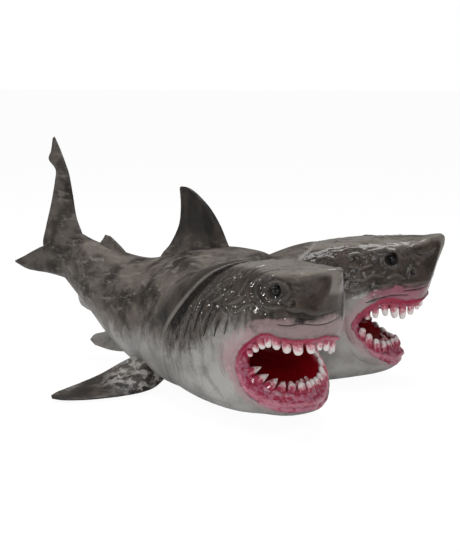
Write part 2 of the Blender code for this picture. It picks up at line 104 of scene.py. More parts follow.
INNER_CLEARANCE = [5.0, 9.0, 14.0, 18.0]
INNER_DROP = {"keel": [0.0, 1.4, 1.8, 2.8, 2.0, 2.0, 1.8, 0.0],
              "jaw": [0.0, 0.8, 1.2, 1.4, 1.4, 1.2, 0.8, 0.0],
              "upper_lip": [0, 0, 0, 0, 0, 0.4, 0.9, 1.4], "cheek": [0, 0, 0, 0, 0, 0.4, 1.2, 2.0],
              "eye": [0, 0, 0, 0, 0, 0, 1.0, 2.0], "brow": [0, 0, 0, 0, 0, 0, 0.6, 1.0]}
MOUTH_CENTRE = np.array((118.0, 0.0, 32.0))
THROAT_END = np.array((86.0, 0.0, 31.0))
UNDERSIDE = -0.6
TAIL_TIP_X = -110.8
SHIFT = np.array([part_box("body")[0][0] * 1000 - TAIL_TIP_X, 0.0, -UNDERSIDE])
print("the guide lines move by", SHIFT.round(2), "mm into the frame")

# %% [markdown]
# ## Smooth surfaces through the lines
# Cast vinyl has no flat faces. A Catmull-Rom curve passes through each guide point, which a
# subdivided cage wouldn't do. Running it along the lines and then round the rings gives a grid
# of points, and a grid becomes a mesh with one face per cell.

# %% Curves and grids
def smooth_through(points, per_segment, closed=False):
    """A Catmull-Rom curve through points; each point may be a whole row of points."""
    points = np.asarray(points, float)
    if closed:
        padded = np.concatenate([points[-1:], points, points[:2]])
        segments = len(points)
    else:
        padded = np.concatenate([2 * points[:1] - points[1:2], points, 2 * points[-1:] - points[-2:-1]])
        segments = len(points) - 1
    t = (np.arange(per_segment) / per_segment).reshape((-1,) + (1,) * (points.ndim - 1))
    out = []
    for k in range(segments):
        p0, p1, p2, p3 = padded[k:k + 4]
        out.append(0.5 * (2 * p1 + (p2 - p0) * t + (2 * p0 - 5 * p1 + 4 * p2 - p3) * t * t
                          + (3 * p1 - p0 - 3 * p2 + p3) * t ** 3))
    if not closed:
        out.append(points[-1:])
    return np.concatenate(out)


def grid_faces(rows, columns):
    """Four corners for each cell of a grid whose last column meets its first."""
    r = np.arange(rows - 1)[:, None]
    c = np.arange(columns)[None, :]
    n = (c + 1) % columns
    here, above = r * columns, (r + 1) * columns
    return np.stack([here + c, here + n, above + n, above + c], axis=-1).reshape(-1, 4)


print("three points, four steps each, give", len(smooth_through([(0,), (1,), (2,)], 4)), "points")

# %% [markdown]
# ## Meshes and masks
# The points go into a mesh in one go, which is far quicker than face by face, and are held
# inside the box of the solids. A mask is one number per point. The paints read it later, so
# they follow the lips, folds and fins with no picture and no unwrapping.

# %% Meshes and masks
MM = 0.001


def new_mesh(name, points_mm, quads, flip=False, extra=()):
    """A smooth-shaded object from points in millimetres in the frame."""
    mesh = bpy.data.meshes.new(name)
    faces = quads[:, ::-1] if flip else quads
    loops = list(faces.reshape(-1)) + [i for face in extra for i in face]
    sizes = [4] * len(faces) + [len(face) for face in extra]
    low, high = np.array(box_before[0]), np.array(box_before[1])
    places = np.clip(np.asarray(points_mm) * MM, low, high)
    mesh.vertices.add(len(places))
    mesh.vertices.foreach_set("co", places.astype(np.float32).reshape(-1))
    mesh.loops.add(len(loops))
    mesh.loops.foreach_set("vertex_index", np.array(loops, np.int32))
    mesh.polygons.add(len(sizes))
    starts = np.concatenate([[0], np.cumsum(sizes)[:-1]])
    mesh.polygons.foreach_set("loop_start", starts.astype(np.int32))
    mesh.polygons.foreach_set("use_smooth", np.ones(len(sizes), bool))
    mesh.update(calc_edges=True)
    mesh.validate()
    made = bpy.data.objects.new(name, mesh)
    bpy.context.collection.objects.link(made)
    return made


def set_mask(thing, name, values):
    layer = thing.data.attributes.new(name, "FLOAT", "POINT")
    layer.data.foreach_set("value", np.asarray(values, np.float32))


def ramp(x, low, high):
    """0 below low, 1 above high, smooth between."""
    t = np.clip((x - low) / (high - low), 0, 1)
    return t * t * (3 - 2 * t)


print("a ramp from 2 to 4 is", [round(float(ramp(x, 2, 4)), 2) for x in (1, 2.5, 3, 3.5, 5)])

# %% [markdown]
# ## From a head's own frame to the model's
# Each head turns out from the middle plane by the same angle, and the far head is the mirror of
# the near one. Parenting to turned empties would do as well. Turning the points themselves
# keeps every piece in the one frame, where distances can be compared.

# %% Turn and mirror a head
def to_frame(points, side):
    """From the right head's own frame to the model's frame; side is -1 for right, +1 for left."""
    c, s = math.cos(HEAD_SPREAD), math.sin(HEAD_SPREAD)
    points = np.asarray(points, float)
    x = points[..., 0] * c + points[..., 1] * s
    y = -points[..., 0] * s + points[..., 1] * c
    return np.stack([x, y * -side, points[..., 2]], axis=-1) + SHIFT


def grid_normals(grid):
    """Unit normals of a wrapped grid, pointing out of the skin."""
    round_way = np.roll(grid, -1, axis=1) - np.roll(grid, 1, axis=1)
    along_way = np.gradient(grid, axis=0)
    normal = np.cross(along_way, round_way)
    length = np.linalg.norm(normal, axis=2, keepdims=True)
    return normal / np.maximum(length, 1e-9)


print("the right snout points to", to_frame(HEAD_LINES["crown"][5], -1).round(1), "mm")

# %% [markdown]
# ## The skin of a head
# On the figure the hide turns over the lip into a gum, and the gum drops into a deep painted
# throat. The rings of the grid start at the seam behind the gills and end at the lip. From
# there more rings turn over the lip, cross the gum and line the mouth. A mouth cut out with a
# boolean would have a sharp edge, where the real lip is soft.

# %% Make the head grid
ALONG = 28
ROUND = 17


def head_skin():
    """The grid of a whole head: the outer half from the lines, the inner half fitted beside it."""
    lines = [np.array(line, float) for line in HEAD_LINES.values()]
    slope = math.cos(HEAD_SPREAD) / math.sin(HEAD_SPREAD)
    loop = [line * (1, -1, 1) for line in lines]
    for name, line in list(zip(HEAD_LINES, lines))[-2:0:-1]:
        moved = line.copy()
        moved[:, 2] -= np.array(INNER_DROP.get(name, 0.0))
        for k, clearance in enumerate(INNER_CLEARANCE):
            moved[k, 0] = max(moved[k, 0], moved[k, 1] * slope + clearance)
        loop.append(moved)
    stations = np.stack(loop, axis=1)
    grid = smooth_through(stations, ALONG)
    grid = np.swapaxes(smooth_through(np.swapaxes(grid, 0, 1), ROUND, closed=True), 0, 1)
    grid[..., 2] = np.maximum(grid[..., 2], UNDERSIDE + 0.1)
    return grid


skin = head_skin()
print("head skin has", skin.shape[0], "rings of", skin.shape[1], "points")

# %% [markdown]
# ## The lining of the mouth
# A gum step says how far a ring lies inward from the lip, as a share of the way to the middle
# of the mouth, and how far back and up it lies, in millimetres. A throat step says how far down
# the throat a ring lies and how much narrower it is, both as shares.

# %% Line the mouth
GUM_STEPS = ((0.04, -0.3, -0.3), (0.12, 0.0, -0.2), (0.20, 0.5, 1.5), (0.27, 2.2, 0.6))
THROAT_STEPS = ((0.25, 0.05), (0.55, 0.22), (0.82, 0.50), (0.96, 0.78))
LINING_STEPS = 8


def mouth_lining(lip, rows):
    """Rings from the lip over the gum to the end of the throat."""
    key = [lip]
    below = ramp(-lip[:, 2], -36, -26)[:, None]
    for inward, back, lift in GUM_STEPS:
        raised = np.array([0, 0, lift]) * below
        key.append(lip + (MOUTH_CENTRE - lip) * inward - np.array([back, 0, 0]) + raised)
    wall = key[-1]
    for along, narrow in THROAT_STEPS:
        shape = (wall - MOUTH_CENTRE) * (1 - narrow)
        shape[:, 0] *= 1 - along
        key.append(MOUTH_CENTRE + (THROAT_END - MOUTH_CENTRE) * along + shape)
    return smooth_through(np.stack(key), rows)


lining = mouth_lining(skin[-1], LINING_STEPS)
print("mouth lining has", lining.shape[0], "rings")

# %% [markdown]
# ## The trunk
# The trunk of the figure is thick at the shoulders and lies on a flat belly. It is a row of
# ovals here, each given by its top point, its bottom point and its half width. An oval that
# leans between two points follows back and belly at once, so a few do where upright slices
# would have to be many.

# %% Lines of the trunk
TRUNK = [
    ((-85, 63), (-88, 56), 1.2),
    ((-73, 71), (-80, 48), 3.2),
    ((-61, 72), (-70, 42.5), 5.6),
    ((-52, 68.5), (-61, 36), 8.8),
    ((-44, 66.0), (-52, 30), 12.4),
    ((-34, 63.6), (-41, 22.6), 16.6),
    ((-21, 61.0), (-27, 12.0), 21.6),
    ((-8, 60.6), (-12, 4.0), 27.0),
    ((6, 64.0), (4, -2.2), 32.0),
    ((22, 68.6), (20, -2.8), 37.0),
    ((38, 71.0), (36, -2.8), 40.0),
    ((52, 71.0), (51, -2.4), 38.0),
    ((64, 69.6), (62, 4.0), 28.0),
    ((74, 63.0), (73, 14.0), 15.0),
]


def trunk_grid(along=6, round_count=120):
    top = smooth_through([t for t, b, w in TRUNK], along)
    bottom = smooth_through([b for t, b, w in TRUNK], along)
    wide = smooth_through([(w,) for t, b, w in TRUNK], along)[:, 0]
    a = np.linspace(0, 2 * math.pi, round_count, endpoint=False)[None, :]
    middle = (top + bottom) / 2
    half = (top - bottom) / 2
    x = middle[:, :1] + half[:, :1] * np.cos(a)
    y = wide[:, None] * np.sin(a) * (1 - 0.10 * np.cos(a))
    z = middle[:, 1:] + half[:, 1:] * np.cos(a)
    grid = np.stack([x, y, z], axis=-1)
    grid[..., 2] = np.maximum(grid[..., 2], UNDERSIDE)
    return grid


trunk = trunk_grid()
print("trunk runs from", trunk[..., 0].min().round(1), "to", trunk[..., 0].max().round(1), "mm")

# %% [markdown]
# ## The collars
# Each head is plugged into a collar that grows out of the shoulders. A ring of the collar is
# the seam ring of the head, moved back and made a little larger, so the two fit wherever the
# head's lines go. The right collar stops short of the gills, and its seam shows as a dark line
# of painted shade in the gap. The left collar reaches over the neck, since no seam is seen on
# the far head.

# %% Lines of the collars
COLLAR_REACH = {-1: -0.5, 1: 1.5}
COLLAR_RINGS = ((40, -7.5, 0.90), (28, -2.5, 0.92), (16, 0.2, 0.955), (7, 0.6, 0.985), (2.5, 0.5, 0.995),
                (0.3, 0.3, 1.0))


def resized(ring, change):
    """A ring made larger by so many millimetres, in its own upright plane."""
    away = ring - ring.mean(0)
    away[:, 0] = 0
    return ring + away / np.linalg.norm(away, axis=1, keepdims=True) * change


def collar_grid(seam, reach):
    rings = []
    for back, change, height in COLLAR_RINGS:
        ring = resized(seam, change) - np.array([back - reach, 0, 0])
        ring[:, 2] = np.maximum(ring[:, 2] * height, UNDERSIDE + 0.2)
        rings.append(ring)
    return smooth_through(np.stack(rings), 10)


seam_local = skin[0]
collars = [(side, to_frame(collar_grid(seam_local, reach), side)) for side, reach in COLLAR_REACH.items()]
print(len(collars), "collars of", collars[0][1].shape[:2], "points")

# %% [markdown]
# ## Helpers for whole meshes
# A tube is a wrapped grid with both ends closed. Meshes are joined and turned right side out
# with bmesh instead of operators, so that nothing depends on what is selected.

# %% Tubes, joins and modifiers
def closed_tube(name, grid, flip=False):
    rows, columns = grid.shape[:2]
    points = grid.reshape(-1, 3)
    caps = [list(range(columns))[::-1], list(range((rows - 1) * columns, rows * columns))]
    if flip:
        caps = [cap[::-1] for cap in caps]
    return new_mesh(name, points, grid_faces(rows, columns), flip, caps)


def face_outwards(thing):
    """Turns the faces of a closed mesh so that they all look out."""
    shape = bmesh.new()
    shape.from_mesh(thing.data)
    bmesh.ops.recalc_face_normals(shape, faces=shape.faces)
    if shape.calc_volume(signed=True) < 0:
        bmesh.ops.reverse_faces(shape, faces=shape.faces)
    shape.to_mesh(thing.data)
    shape.free()


def join(name, things):
    """One object from several."""
    built = bmesh.new()
    for thing in things:
        built.from_mesh(thing.data)
        bpy.data.objects.remove(thing, do_unlink=True)
    mesh = bpy.data.meshes.new(name)
    built.to_mesh(mesh)
    built.free()
    made = bpy.data.objects.new(name, mesh)
    bpy.context.collection.objects.link(made)
    return made


def applied(thing):
    """Replaces the object's mesh by what its modifiers make of it."""
    bpy.context.view_layer.update()
    graph = bpy.context.evaluated_depsgraph_get()
    mesh = bpy.data.meshes.new_from_object(thing.evaluated_get(graph))
    thing.modifiers.clear()
    old = thing.data
    thing.data = mesh
    bpy.data.meshes.remove(old)
    return thing


def points_of(thing):
    flat = np.empty(len(thing.data.vertices) * 3, np.float32)
    thing.data.vertices.foreach_get("co", flat)
    return flat.reshape(-1, 3).astype(float) / MM


parts = [closed_tube("trunk", trunk + SHIFT, flip=True)]
parts += [closed_tube("collar", ring_grid, flip=side > 0) for side, ring_grid in collars]
for part in parts:
    face_outwards(part)
print("tubes to melt together:", [part.name for part in parts])

# %% [markdown]
# ## One skin for the body
# The shoulders of a cast body flow into the collars. A voxel remesh melts the overlapping tubes
# into one skin, however they cross. A boolean would leave thin slivers where they nearly touch.

# %% Melt trunk and collars into one skin
VOXEL = 0.00085
body_skin = join("body_skin", parts)
melt = body_skin.modifiers.new("melt", "REMESH")
melt.mode = "VOXEL"
melt.voxel_size = VOXEL
melt.use_smooth_shade = True
applied(body_skin)
print("body skin has", len(body_skin.data.vertices), "points")

# %% [markdown]
# ## Soft shoulders
# Smoothing takes the crease out of the shoulders, as clay is rubbed down before it is cast. A
# vertex group holds it off the seam, so that the rim of each collar stays crisp.

# %% Smooth the shoulders
BLOCK = 8000
CRISP_RIM = 1.5
FREE_FROM = 9.0
seam_points = np.concatenate([to_frame(seam_local[::3], side) for side in (-1, 1)])


def distance_to_seam(points):
    """Distance in mm from each point to the nearest seam, worked out block by block."""
    blocks = [points[start:start + BLOCK] for start in range(0, len(points), BLOCK)]
    return np.concatenate([np.linalg.norm(block[:, None] - seam_points, axis=2).min(1) for block in blocks])


hold = body_skin.vertex_groups.new(name="hold")
free_share = np.round(ramp(distance_to_seam(points_of(body_skin)), CRISP_RIM, FREE_FROM), 2)
for share in np.unique(free_share):
    if share > 0:
        hold.add(np.nonzero(free_share == share)[0].tolist(), float(share), "REPLACE")
for factor, repeats, group in ((0.5, 60, "hold"), (0.5, 3, "")):
    soften = body_skin.modifiers.new("soften", "SMOOTH")
    soften.factor = factor
    soften.iterations = repeats
    soften.vertex_group = group
applied(body_skin)
print("smoothing is held back on", int((free_share < 1).sum()), "points near the seams")

# %% [markdown]
# ## The fins
# Each fin is cast in one with the body. A section of it is its front point, its rear point and
# its share of the full thickness, listed from the root to the tip.

# %% Lines of the fins
DORSAL = [((53, 0, 56), (-4, 0, 56), 1.5), ((47.5, 0, 66), (1, 0, 64), 1.25),
          ((43.8, 0, 71.5), (6.5, 0, 70), 1.0), ((38.8, 0, 81.5), (12.0, 0, 80), 0.8),
          ((32.8, 0, 90.0), (13.4, 0, 89), 0.6), ((26.0, 0, 96.2), (13.2, 0, 96), 0.42),
          ((20.8, 0, 99.6), (12.8, 0, 99.8), 0.3), ((17.2, 0, 100.9), (13.4, 0, 101.0), 0.14)]
SECOND_DORSAL = [((-21, 0, 57), (-44, 0, 60), 1.3), ((-25, 0, 62.2), (-43.5, 0, 65.2), 1.0),
                 ((-30.5, 0, 66.8), (-41.0, 0, 68.4), 0.6), ((-35.4, 0, 70.2), (-39.4, 0, 70.9), 0.25)]
ANAL = [((-40, 0, 34), (-56, 0, 42), 1.3), ((-46, 0, 25.5), (-60.5, 0, 35.5), 1.0),
        ((-52, 0, 25.6), (-60.8, 0, 32.4), 0.55), ((-57.2, 0, 27.4), (-59.9, 0, 29.6), 0.25)]
TAIL_UPPER = [((-54, 0, 60), (-82, 0, 50), 1.7), ((-56.5, 0, 69.5), (-87.0, 0, 61), 1.3),
              ((-60.6, 0, 79.3), (-84.6, 0, 71), 1.0), ((-62.9, 0, 92), (-79.6, 0, 86), 0.82),
              ((-65.2, 0, 103.4), (-75.9, 0, 100), 0.66), ((-67.4, 0, 109), (-75.4, 0, 106), 0.55),
              ((-69.4, 0, 113.8), (-80.4, 0, 111.6), 0.45), ((-72.2, 0, 119.4), (-78.4, 0, 116.6), 0.32),
              ((-75.2, 0, 124.6), (-76.8, 0, 123.8), 0.16)]
TAIL_LOWER = [((-62, 0, 41), (-70, 0, 64), 1.7), ((-72, 0, 43.2), (-86.5, 0, 60.4), 1.25),
              ((-84, 0, 44.4), (-92.5, 0, 58.0), 0.95), ((-93, 0, 44.6), (-98.4, 0, 55.2), 0.7),
              ((-101, 0, 45.2), (-104.0, 0, 52.4), 0.45), ((-110.2, 0, 48.2), (-110.8, 0, 49.4), 0.2)]
PECTORAL = [((26, -22, 11), (6, -20, 19), 1.4), ((24, -35, 3.4), (6, -29, 15.2), 1.3),
            ((22.5, -45, 2.0), (-1.5, -35.5, 10.2), 1.15), ((18.0, -54.5, 1.6), (-6.5, -44.5, 6.0), 0.9),
            ((13.0, -62.0, 1.4), (-10.4, -53.6, 3.6), 0.66), ((6.0, -70.3, 1.3), (-12.6, -62.6, 2.4), 0.5),
            ((-2.6, -76.6, 1.2), (-14.0, -69.6, 1.7), 0.34), ((-9.6, -77.6, 1.0), (-13.4, -75.0, 1.2), 0.2)]
PELVIC = [((-8, -10, 14), (-26, -9, 22), 1.5), ((-12, -14.5, 10.6), (-29, -14, 19.2), 1.1),
          ((-21, -18.5, 10.6), (-33, -18, 18.0), 0.7), ((-31.0, -20.6, 12.6), (-35.0, -20.2, 15.2), 0.3)]
print("fin sections:", [len(fin) for fin in (DORSAL, SECOND_DORSAL, ANAL, TAIL_UPPER, PECTORAL, PELVIC)])

# %% [markdown]
# ## Loft the fins
# A fin is lofted from its root to its tip along one profile, blunt in front and thin behind.
# Near the root it flares out, so that it meets the back in a soft hollow as a moulded fin does.
# A flat cut-out given a thickness would have the same outline, but no blunt front edge.

# %% Make the fins
PROFILE = [(0.0, 0.0), (0.02, 0.34), (0.06, 0.58), (0.14, 0.84), (0.30, 1.0), (0.50, 0.86), (0.72, 0.56),
           (0.90, 0.26), (1.0, 0.10)]
FLARE_RUN = 0.10


def fin_grid(sections, thickness, through, flare, span_steps=10):
    front = smooth_through([f for f, r, s in sections], span_steps)
    rear = smooth_through([r for f, r, s in sections], span_steps)
    share = smooth_through([(s,) for f, r, s in sections], span_steps)[:, 0]
    through = np.array(through, float)
    through /= np.linalg.norm(through)
    upper = smooth_through(PROFILE, 4)
    lower = upper[1:][::-1] * (1, -1)
    outline = np.concatenate([upper, lower[:-1] if abs(lower[-1][1]) < 1e-6 else lower])
    run = np.linspace(0, 1, len(front))
    thick = thickness / 2 * share + flare * np.exp(-run / FLARE_RUN)
    along = outline[None, :, 0:1]
    away = outline[None, :, 1:2] * thick[:, None, None]
    return front[:, None] + (rear - front)[:, None] * along + through * away


FINS = (
    ("dorsal_fin", DORSAL, 7.0, (0, 1, 0), 2.6, (0,)),
    ("second_dorsal_fin", SECOND_DORSAL, 4.2, (0, 1, 0), 0.8, (0,)),
    ("anal_fin", ANAL, 4.2, (0, 1, 0), 0.6, (0,)),
    ("tail_upper_lobe", TAIL_UPPER, 5.0, (0, 1, 0), 0.6, (0,)),
    ("tail_lower_lobe", TAIL_LOWER, 5.0, (0, 1, 0), 0.6, (0,)),
    ("pectoral_fin", PECTORAL, 5.0, (0.25, 0.30, 1.0), 1.2, (-1, 1)),
    ("pelvic_fin", PELVIC, 3.85, (0.4, -0.75, 0.6), 0.5, (-1, 1)),
)
fin_objects = []
for name, sections, thickness, through, flare, sides in FINS:
    grid = fin_grid(sections, thickness, through, flare)
    for side in sides:
        placed = grid * (1, -1 if side > 0 else 1, 1) + SHIFT
        label = name if side == 0 else ("right_" if side < 0 else "left_") + name
        fin = closed_tube(label, placed)
        face_outwards(fin)
        fin_objects.append(fin)
print("fins:", ", ".join(fin.name for fin in fin_objects))

# %% [markdown]
# ## Where the photograph was taken from
# The camera's place was found by fitting the figure's outline. It serves twice: the picture is
# taken from here, and the marks on the hide are read from here.

# %% The camera's place
PHOTO_SIZE = (460, 552)
AZIMUTH = math.radians(33.1)
ELEVATION = math.radians(10.9)
DISTANCE = 514.0
FOCAL_PIXELS = 988.0
AIM = np.array([44.5, 0.0, 56.0]) + SHIFT
TO_CAMERA = np.array([math.sin(AZIMUTH) * math.cos(ELEVATION), -math.cos(AZIMUTH) * math.cos(ELEVATION),
                      math.sin(ELEVATION)])
CAMERA_PLACE = AIM + TO_CAMERA * DISTANCE
PICTURE_RIGHT = np.cross((0.0, 0.0, 1.0), TO_CAMERA)
PICTURE_RIGHT /= np.linalg.norm(PICTURE_RIGHT)
PICTURE_UP = np.cross(TO_CAMERA, PICTURE_RIGHT)
print("camera at", CAMERA_PLACE.round(1), "mm")

# %% [markdown]
# ## Marks cast onto the skin
# A mark on the hide could be placed by guessing its millimetres. It is surer to read its pixel
# off the photograph and send a ray from the camera through that pixel onto the skin.

# %% Cast a pixel onto a head
def from_frame(points, side):
    """From the model's frame back to the right head's own frame."""
    c, s = math.cos(HEAD_SPREAD), math.sin(HEAD_SPREAD)
    points = np.asarray(points, float) - SHIFT
    y = points[..., 1] * -side
    return np.stack([points[..., 0] * c - y * s, points[..., 0] * s + y * c, points[..., 2]], axis=-1)


def skin_tree(side):
    """The skin of one head, every other row and column, ready for rays."""
    corners = to_frame(skin[::2, ::2], side)
    rows, columns = corners.shape[:2]
    return BVHTree.FromPolygons(corners.reshape(-1, 3).tolist(), grid_faces(rows, columns).tolist())


TREES = {-1: skin_tree(-1), 1: skin_tree(1)}


def cast(pixel, side):
    """The place on the skin under a photograph pixel, in the head's own frame."""
    way = (-TO_CAMERA * FOCAL_PIXELS + PICTURE_RIGHT * (pixel[0] - PHOTO_SIZE[0] / 2)
           + PICTURE_UP * (PHOTO_SIZE[1] / 2 - pixel[1]))
    hit = TREES[side].ray_cast(Vector(CAMERA_PLACE), Vector(way).normalized())[0]
    return None if hit is None else from_frame(np.array(hit), side)


NEAR_EYE = (275, 291)
print("the near eye lies at", cast(NEAR_EYE, -1).round(1), "mm in its head's own frame")

# %% [markdown]
# ## Folds on the near head
# The sculptor drew the gills, the folds and the eye sockets one by one, so noise alone would
# look wrong. Each kind of fold is a height, a half width and the pixels that each stroke passes
# through. A ridge stands up from the skin, and a groove has a height below zero. The near head
# gives the outer half of the skin.

# %% Folds of the near head
NEAR_FOLDS = {
    "crown crests": (0.55, 0.8, (
        [(222, 267), (235, 262), (252, 264)], [(245, 275), (262, 266), (290, 263)],
        [(292, 262), (312, 265), (332, 268)], [(255, 272), (270, 268), (300, 269)],
        [(225, 280), (240, 272), (256, 262)], [(250, 283), (262, 276), (277, 271)],
        [(212, 275), (222, 270), (230, 264)], [(262, 262), (276, 260), (292, 259)],
    )),
    "brow edge": (0.5, 0.8, (
        [(262, 280), (272, 277), (284, 280), (300, 279), (318, 275), (330, 271), (340, 270)],
    )),
    "socket ring": (0.75, 0.7, (
        [(266, 279), (259, 283), (257, 290), (259, 298), (264, 304), (272, 307), (282, 306)],
        [(269, 282), (278, 280), (287, 284), (290, 291), (287, 298), (280, 302)],
    )),
    "under the eye": (0.5, 0.6, (
        [(256, 300), (262, 308), (270, 311)], [(247, 290), (250, 300), (254, 307)],
    )),
    "muzzle grooves": (-0.2, 0.45, (
        [(288, 312), (295, 314), (303, 313), (311, 316), (320, 316), (330, 313), (338, 309)],
        [(278, 325), (288, 326), (300, 324), (311, 325), (321, 325), (331, 322), (339, 317)],
        [(298, 318), (306, 319), (314, 319)], [(296, 321), (303, 322)],
    )),
    "muzzle folds": (0.42, 0.8, (
        [(290, 309), (303, 310), (315, 313), (332, 309)], [(284, 320), (297, 318)],
        [(306, 321), (322, 321), (338, 314)], [(276, 329), (292, 330), (312, 329)],
    )),
    "thin lines": (0.0, 0.5, (
        [(258, 283), (256, 289), (257, 297), (262, 303), (269, 307)],
        [(264, 280), (261, 286), (262, 293), (266, 299)],
        [(196, 300), (202, 292), (209, 284), (216, 279)], [(213, 306), (216, 297), (222, 290)],
        [(223, 300), (226, 293), (231, 287)], [(286, 306), (291, 308), (296, 306)],
    )),
    "cheek folds": (0.6, 0.8, (
        [(222, 308), (228, 315), (231, 319)], [(237, 311), (247, 305), (254, 304)],
        [(206, 296), (214, 290), (221, 283)], [(212, 301), (222, 296), (232, 288)],
        [(236, 296), (243, 288), (247, 280)], [(228, 303), (236, 301), (243, 296)],
    )),
    "gill slits": (-0.7, 0.8, (
        [(194, 332), (196, 320), (200, 309), (205, 301)], [(184, 338), (187, 324), (192, 311)],
        [(204, 336), (207, 322), (211, 311), (217, 302)], [(214, 336), (216, 325), (221, 315)],
        [(176, 340), (179, 328), (183, 318)], [(224, 334), (226, 324), (229, 316)],
    )),
    "gill crests": (0.6, 0.8, (
        [(192, 327), (195, 316), (199, 307)], [(184, 336), (186, 322), (190, 312)],
        [(201, 332), (204, 320), (210, 309)], [(212, 334), (213, 324), (218, 312)],
        [(201, 325), (200, 336), (203, 347)], [(210, 340), (213, 350), (214, 358)],
        [(190, 335), (189, 348), (192, 360)], [(180, 342), (180, 356), (184, 368)],
        [(172, 336), (170, 350), (173, 362)],
    )),
    "throat folds": (0.5, 0.9, (
        [(201, 347), (203, 358), (204, 367), (208, 377), (213, 384), (218, 390)],
        [(193, 383), (205, 392), (216, 398), (228, 402)], [(190, 350), (191, 362), (196, 373)],
        [(206, 368), (212, 383), (222, 395)], [(222, 345), (221, 360), (224, 373)],
    )),
}
print("near head:", sum(len(strokes) for tall, half, strokes in NEAR_FOLDS.values()), "strokes")

# %% [markdown]
# ## Folds on the far head, and the small marks
# The far head gives the inner half of the skin. Bumps are single small warts. An eye and a
# nostril are given by their middle.

# %% Folds of the far head and small marks
FAR_FOLDS = {
    "side crests": (0.35, 0.7, (
        [(346, 279), (353, 281), (361, 282), (367, 280), (373, 277), (382, 278)],
        [(389, 279), (396, 276), (403, 279)], [(347, 290), (356, 292), (366, 289)],
        [(372, 286), (381, 288), (392, 286)], [(350, 268), (360, 270), (371, 267)],
    )),
    "brow edge": (0.5, 0.8, (
        [(342, 256), (354, 255), (368, 252), (385, 250), (403, 250), (415, 246), (428, 243)],
    )),
    "socket ring": (0.6, 0.7, (
        [(384, 256), (384, 263), (389, 267), (396, 267), (401, 262)],
        [(386, 253), (393, 251), (400, 254)],
    )),
    "snout folds": (0.5, 0.7, (
        [(411, 264), (409, 270), (408, 278)], [(405, 286), (415, 285), (425, 283)],
        [(421, 254), (429, 253), (435, 250)], [(352, 260), (354, 254), (360, 256)],
    )),
    "muzzle grooves": (-0.62, 0.7, (
        [(403, 291), (412, 290), (420, 289), (427, 286)],
        [(366, 303), (378, 299), (392, 296), (408, 295)],
    )),
    "muzzle folds": (0.42, 0.8, (
        [(372, 296), (386, 293), (400, 292)], [(350, 300), (360, 298), (372, 293)],
    )),
    "jaw folds": (0.4, 0.9, (
        [(346, 318), (347, 330), (352, 342)], [(352, 352), (364, 360), (378, 364)],
    )),
}
NEAR_BUMPS = [
    (262, 313), (269, 311), (269, 317), (276, 316), (286, 314), (289, 308), (298, 287), (280, 279),
    (285, 282), (299, 279), (334, 272), (243, 300), (250, 312), (216, 300), (224, 291), (232, 309),
]
FAR_BUMPS = [
    (397, 282), (367, 295), (377, 291), (365, 250), (374, 253), (385, 272), (358, 286), (418, 262),
]
FAR_EYE = (392, 259)
NEAR_NOSTRIL = (293, 303)
FAR_NOSTRIL = (413, 272)
BUMP_HEIGHT = 0.45
BUMP_HALF = 0.75
print("far head:", sum(len(strokes) for tall, half, strokes in FAR_FOLDS.values()), "strokes")

# %% [markdown]
# ## Press the folds into the skin
# Each stroke becomes a smooth line on the skin. Every point near it rises by a bell curve of
# its distance to the line, and the fold tapers off at both ends. A stroke that misses the skin
# is left out.

# %% Heights of the folds
def stroke_line(stroke, side):
    """The stroke as a smooth line on the skin, or None where it misses."""
    places = [place for place in (cast(pixel, side) for pixel in stroke) if place is not None]
    return smooth_through(np.array(places), 4) if len(places) > 1 else None


def distance_to_line(points, line):
    """Distance from each point to a bent line, and how far along it the nearest place is, 0 to 1."""
    best = np.full(len(points), 1e9)
    share = np.zeros(len(points))
    count = len(line) - 1
    for k in range(count):
        a, b = line[k], line[k + 1]
        ab = b - a
        t = np.clip(((points - a) @ ab) / max(ab @ ab, 1e-9), 0, 1)
        gap = np.linalg.norm(points - (a + t[:, None] * ab), axis=1)
        nearer = gap < best
        best[nearer] = gap[nearer]
        share[nearer] = (k + t[nearer]) / count
    return best, share


def fold_heights(points):
    """Height over the smooth skin at each point, from all the folds and bumps."""
    height = np.zeros(len(points))
    for side, folds in ((-1, NEAR_FOLDS), (1, FAR_FOLDS)):
        for tall, half, strokes in folds.values():
            for stroke in strokes:
                line = stroke_line(stroke, side)
                if line is None:
                    continue
                low, high = line.min(0) - 3 * half, line.max(0) + 3 * half
                near = np.nonzero(((points > low) & (points < high)).all(1))[0]
                gap, share = distance_to_line(points[near], line)
                taper = np.clip(np.minimum(share, 1 - share) * 4, 0, 1) ** 0.7
                height[near] += tall * np.exp(-(gap / half) ** 2) * taper
    for side, bumps in ((-1, NEAR_BUMPS), (1, FAR_BUMPS)):
        for pixel in bumps:
            place = cast(pixel, side)
            if place is not None:
                away = np.linalg.norm(points - place, axis=1)
                height += BUMP_HEIGHT * np.exp(-(away / BUMP_HALF) ** 2)
    return height


flat_skin = skin.reshape(-1, 3)
folds = fold_heights(flat_skin)
print("drawn folds reach from", round(folds.min(), 2), "to", round(folds.max(), 2), "mm")

# %% [markdown]
# ## Eye sockets and nostrils
# Each eye lies in a shallow hollow with a raised ring round it, and each nostril is a small pit
# with a rim. Both are the same shape at two sizes. At the end the whole relief is held between
# two limits, so that crossing folds don't pile up.

# %% Sockets and nostrils
EYES = [cast(NEAR_EYE, -1), cast(FAR_EYE, 1)]
NOSTRILS = [cast(NEAR_NOSTRIL, -1), cast(FAR_NOSTRIL, 1)]
EYE_RING = (0.35, 4.0, 0.8)
EYE_PIT = (1.0, 2.9)
NOSTRIL_RING = (0.30, 2.0, 0.6)
NOSTRIL_PIT = (1.1, 1.1)
DEEPEST, HIGHEST = -1.4, 1.1


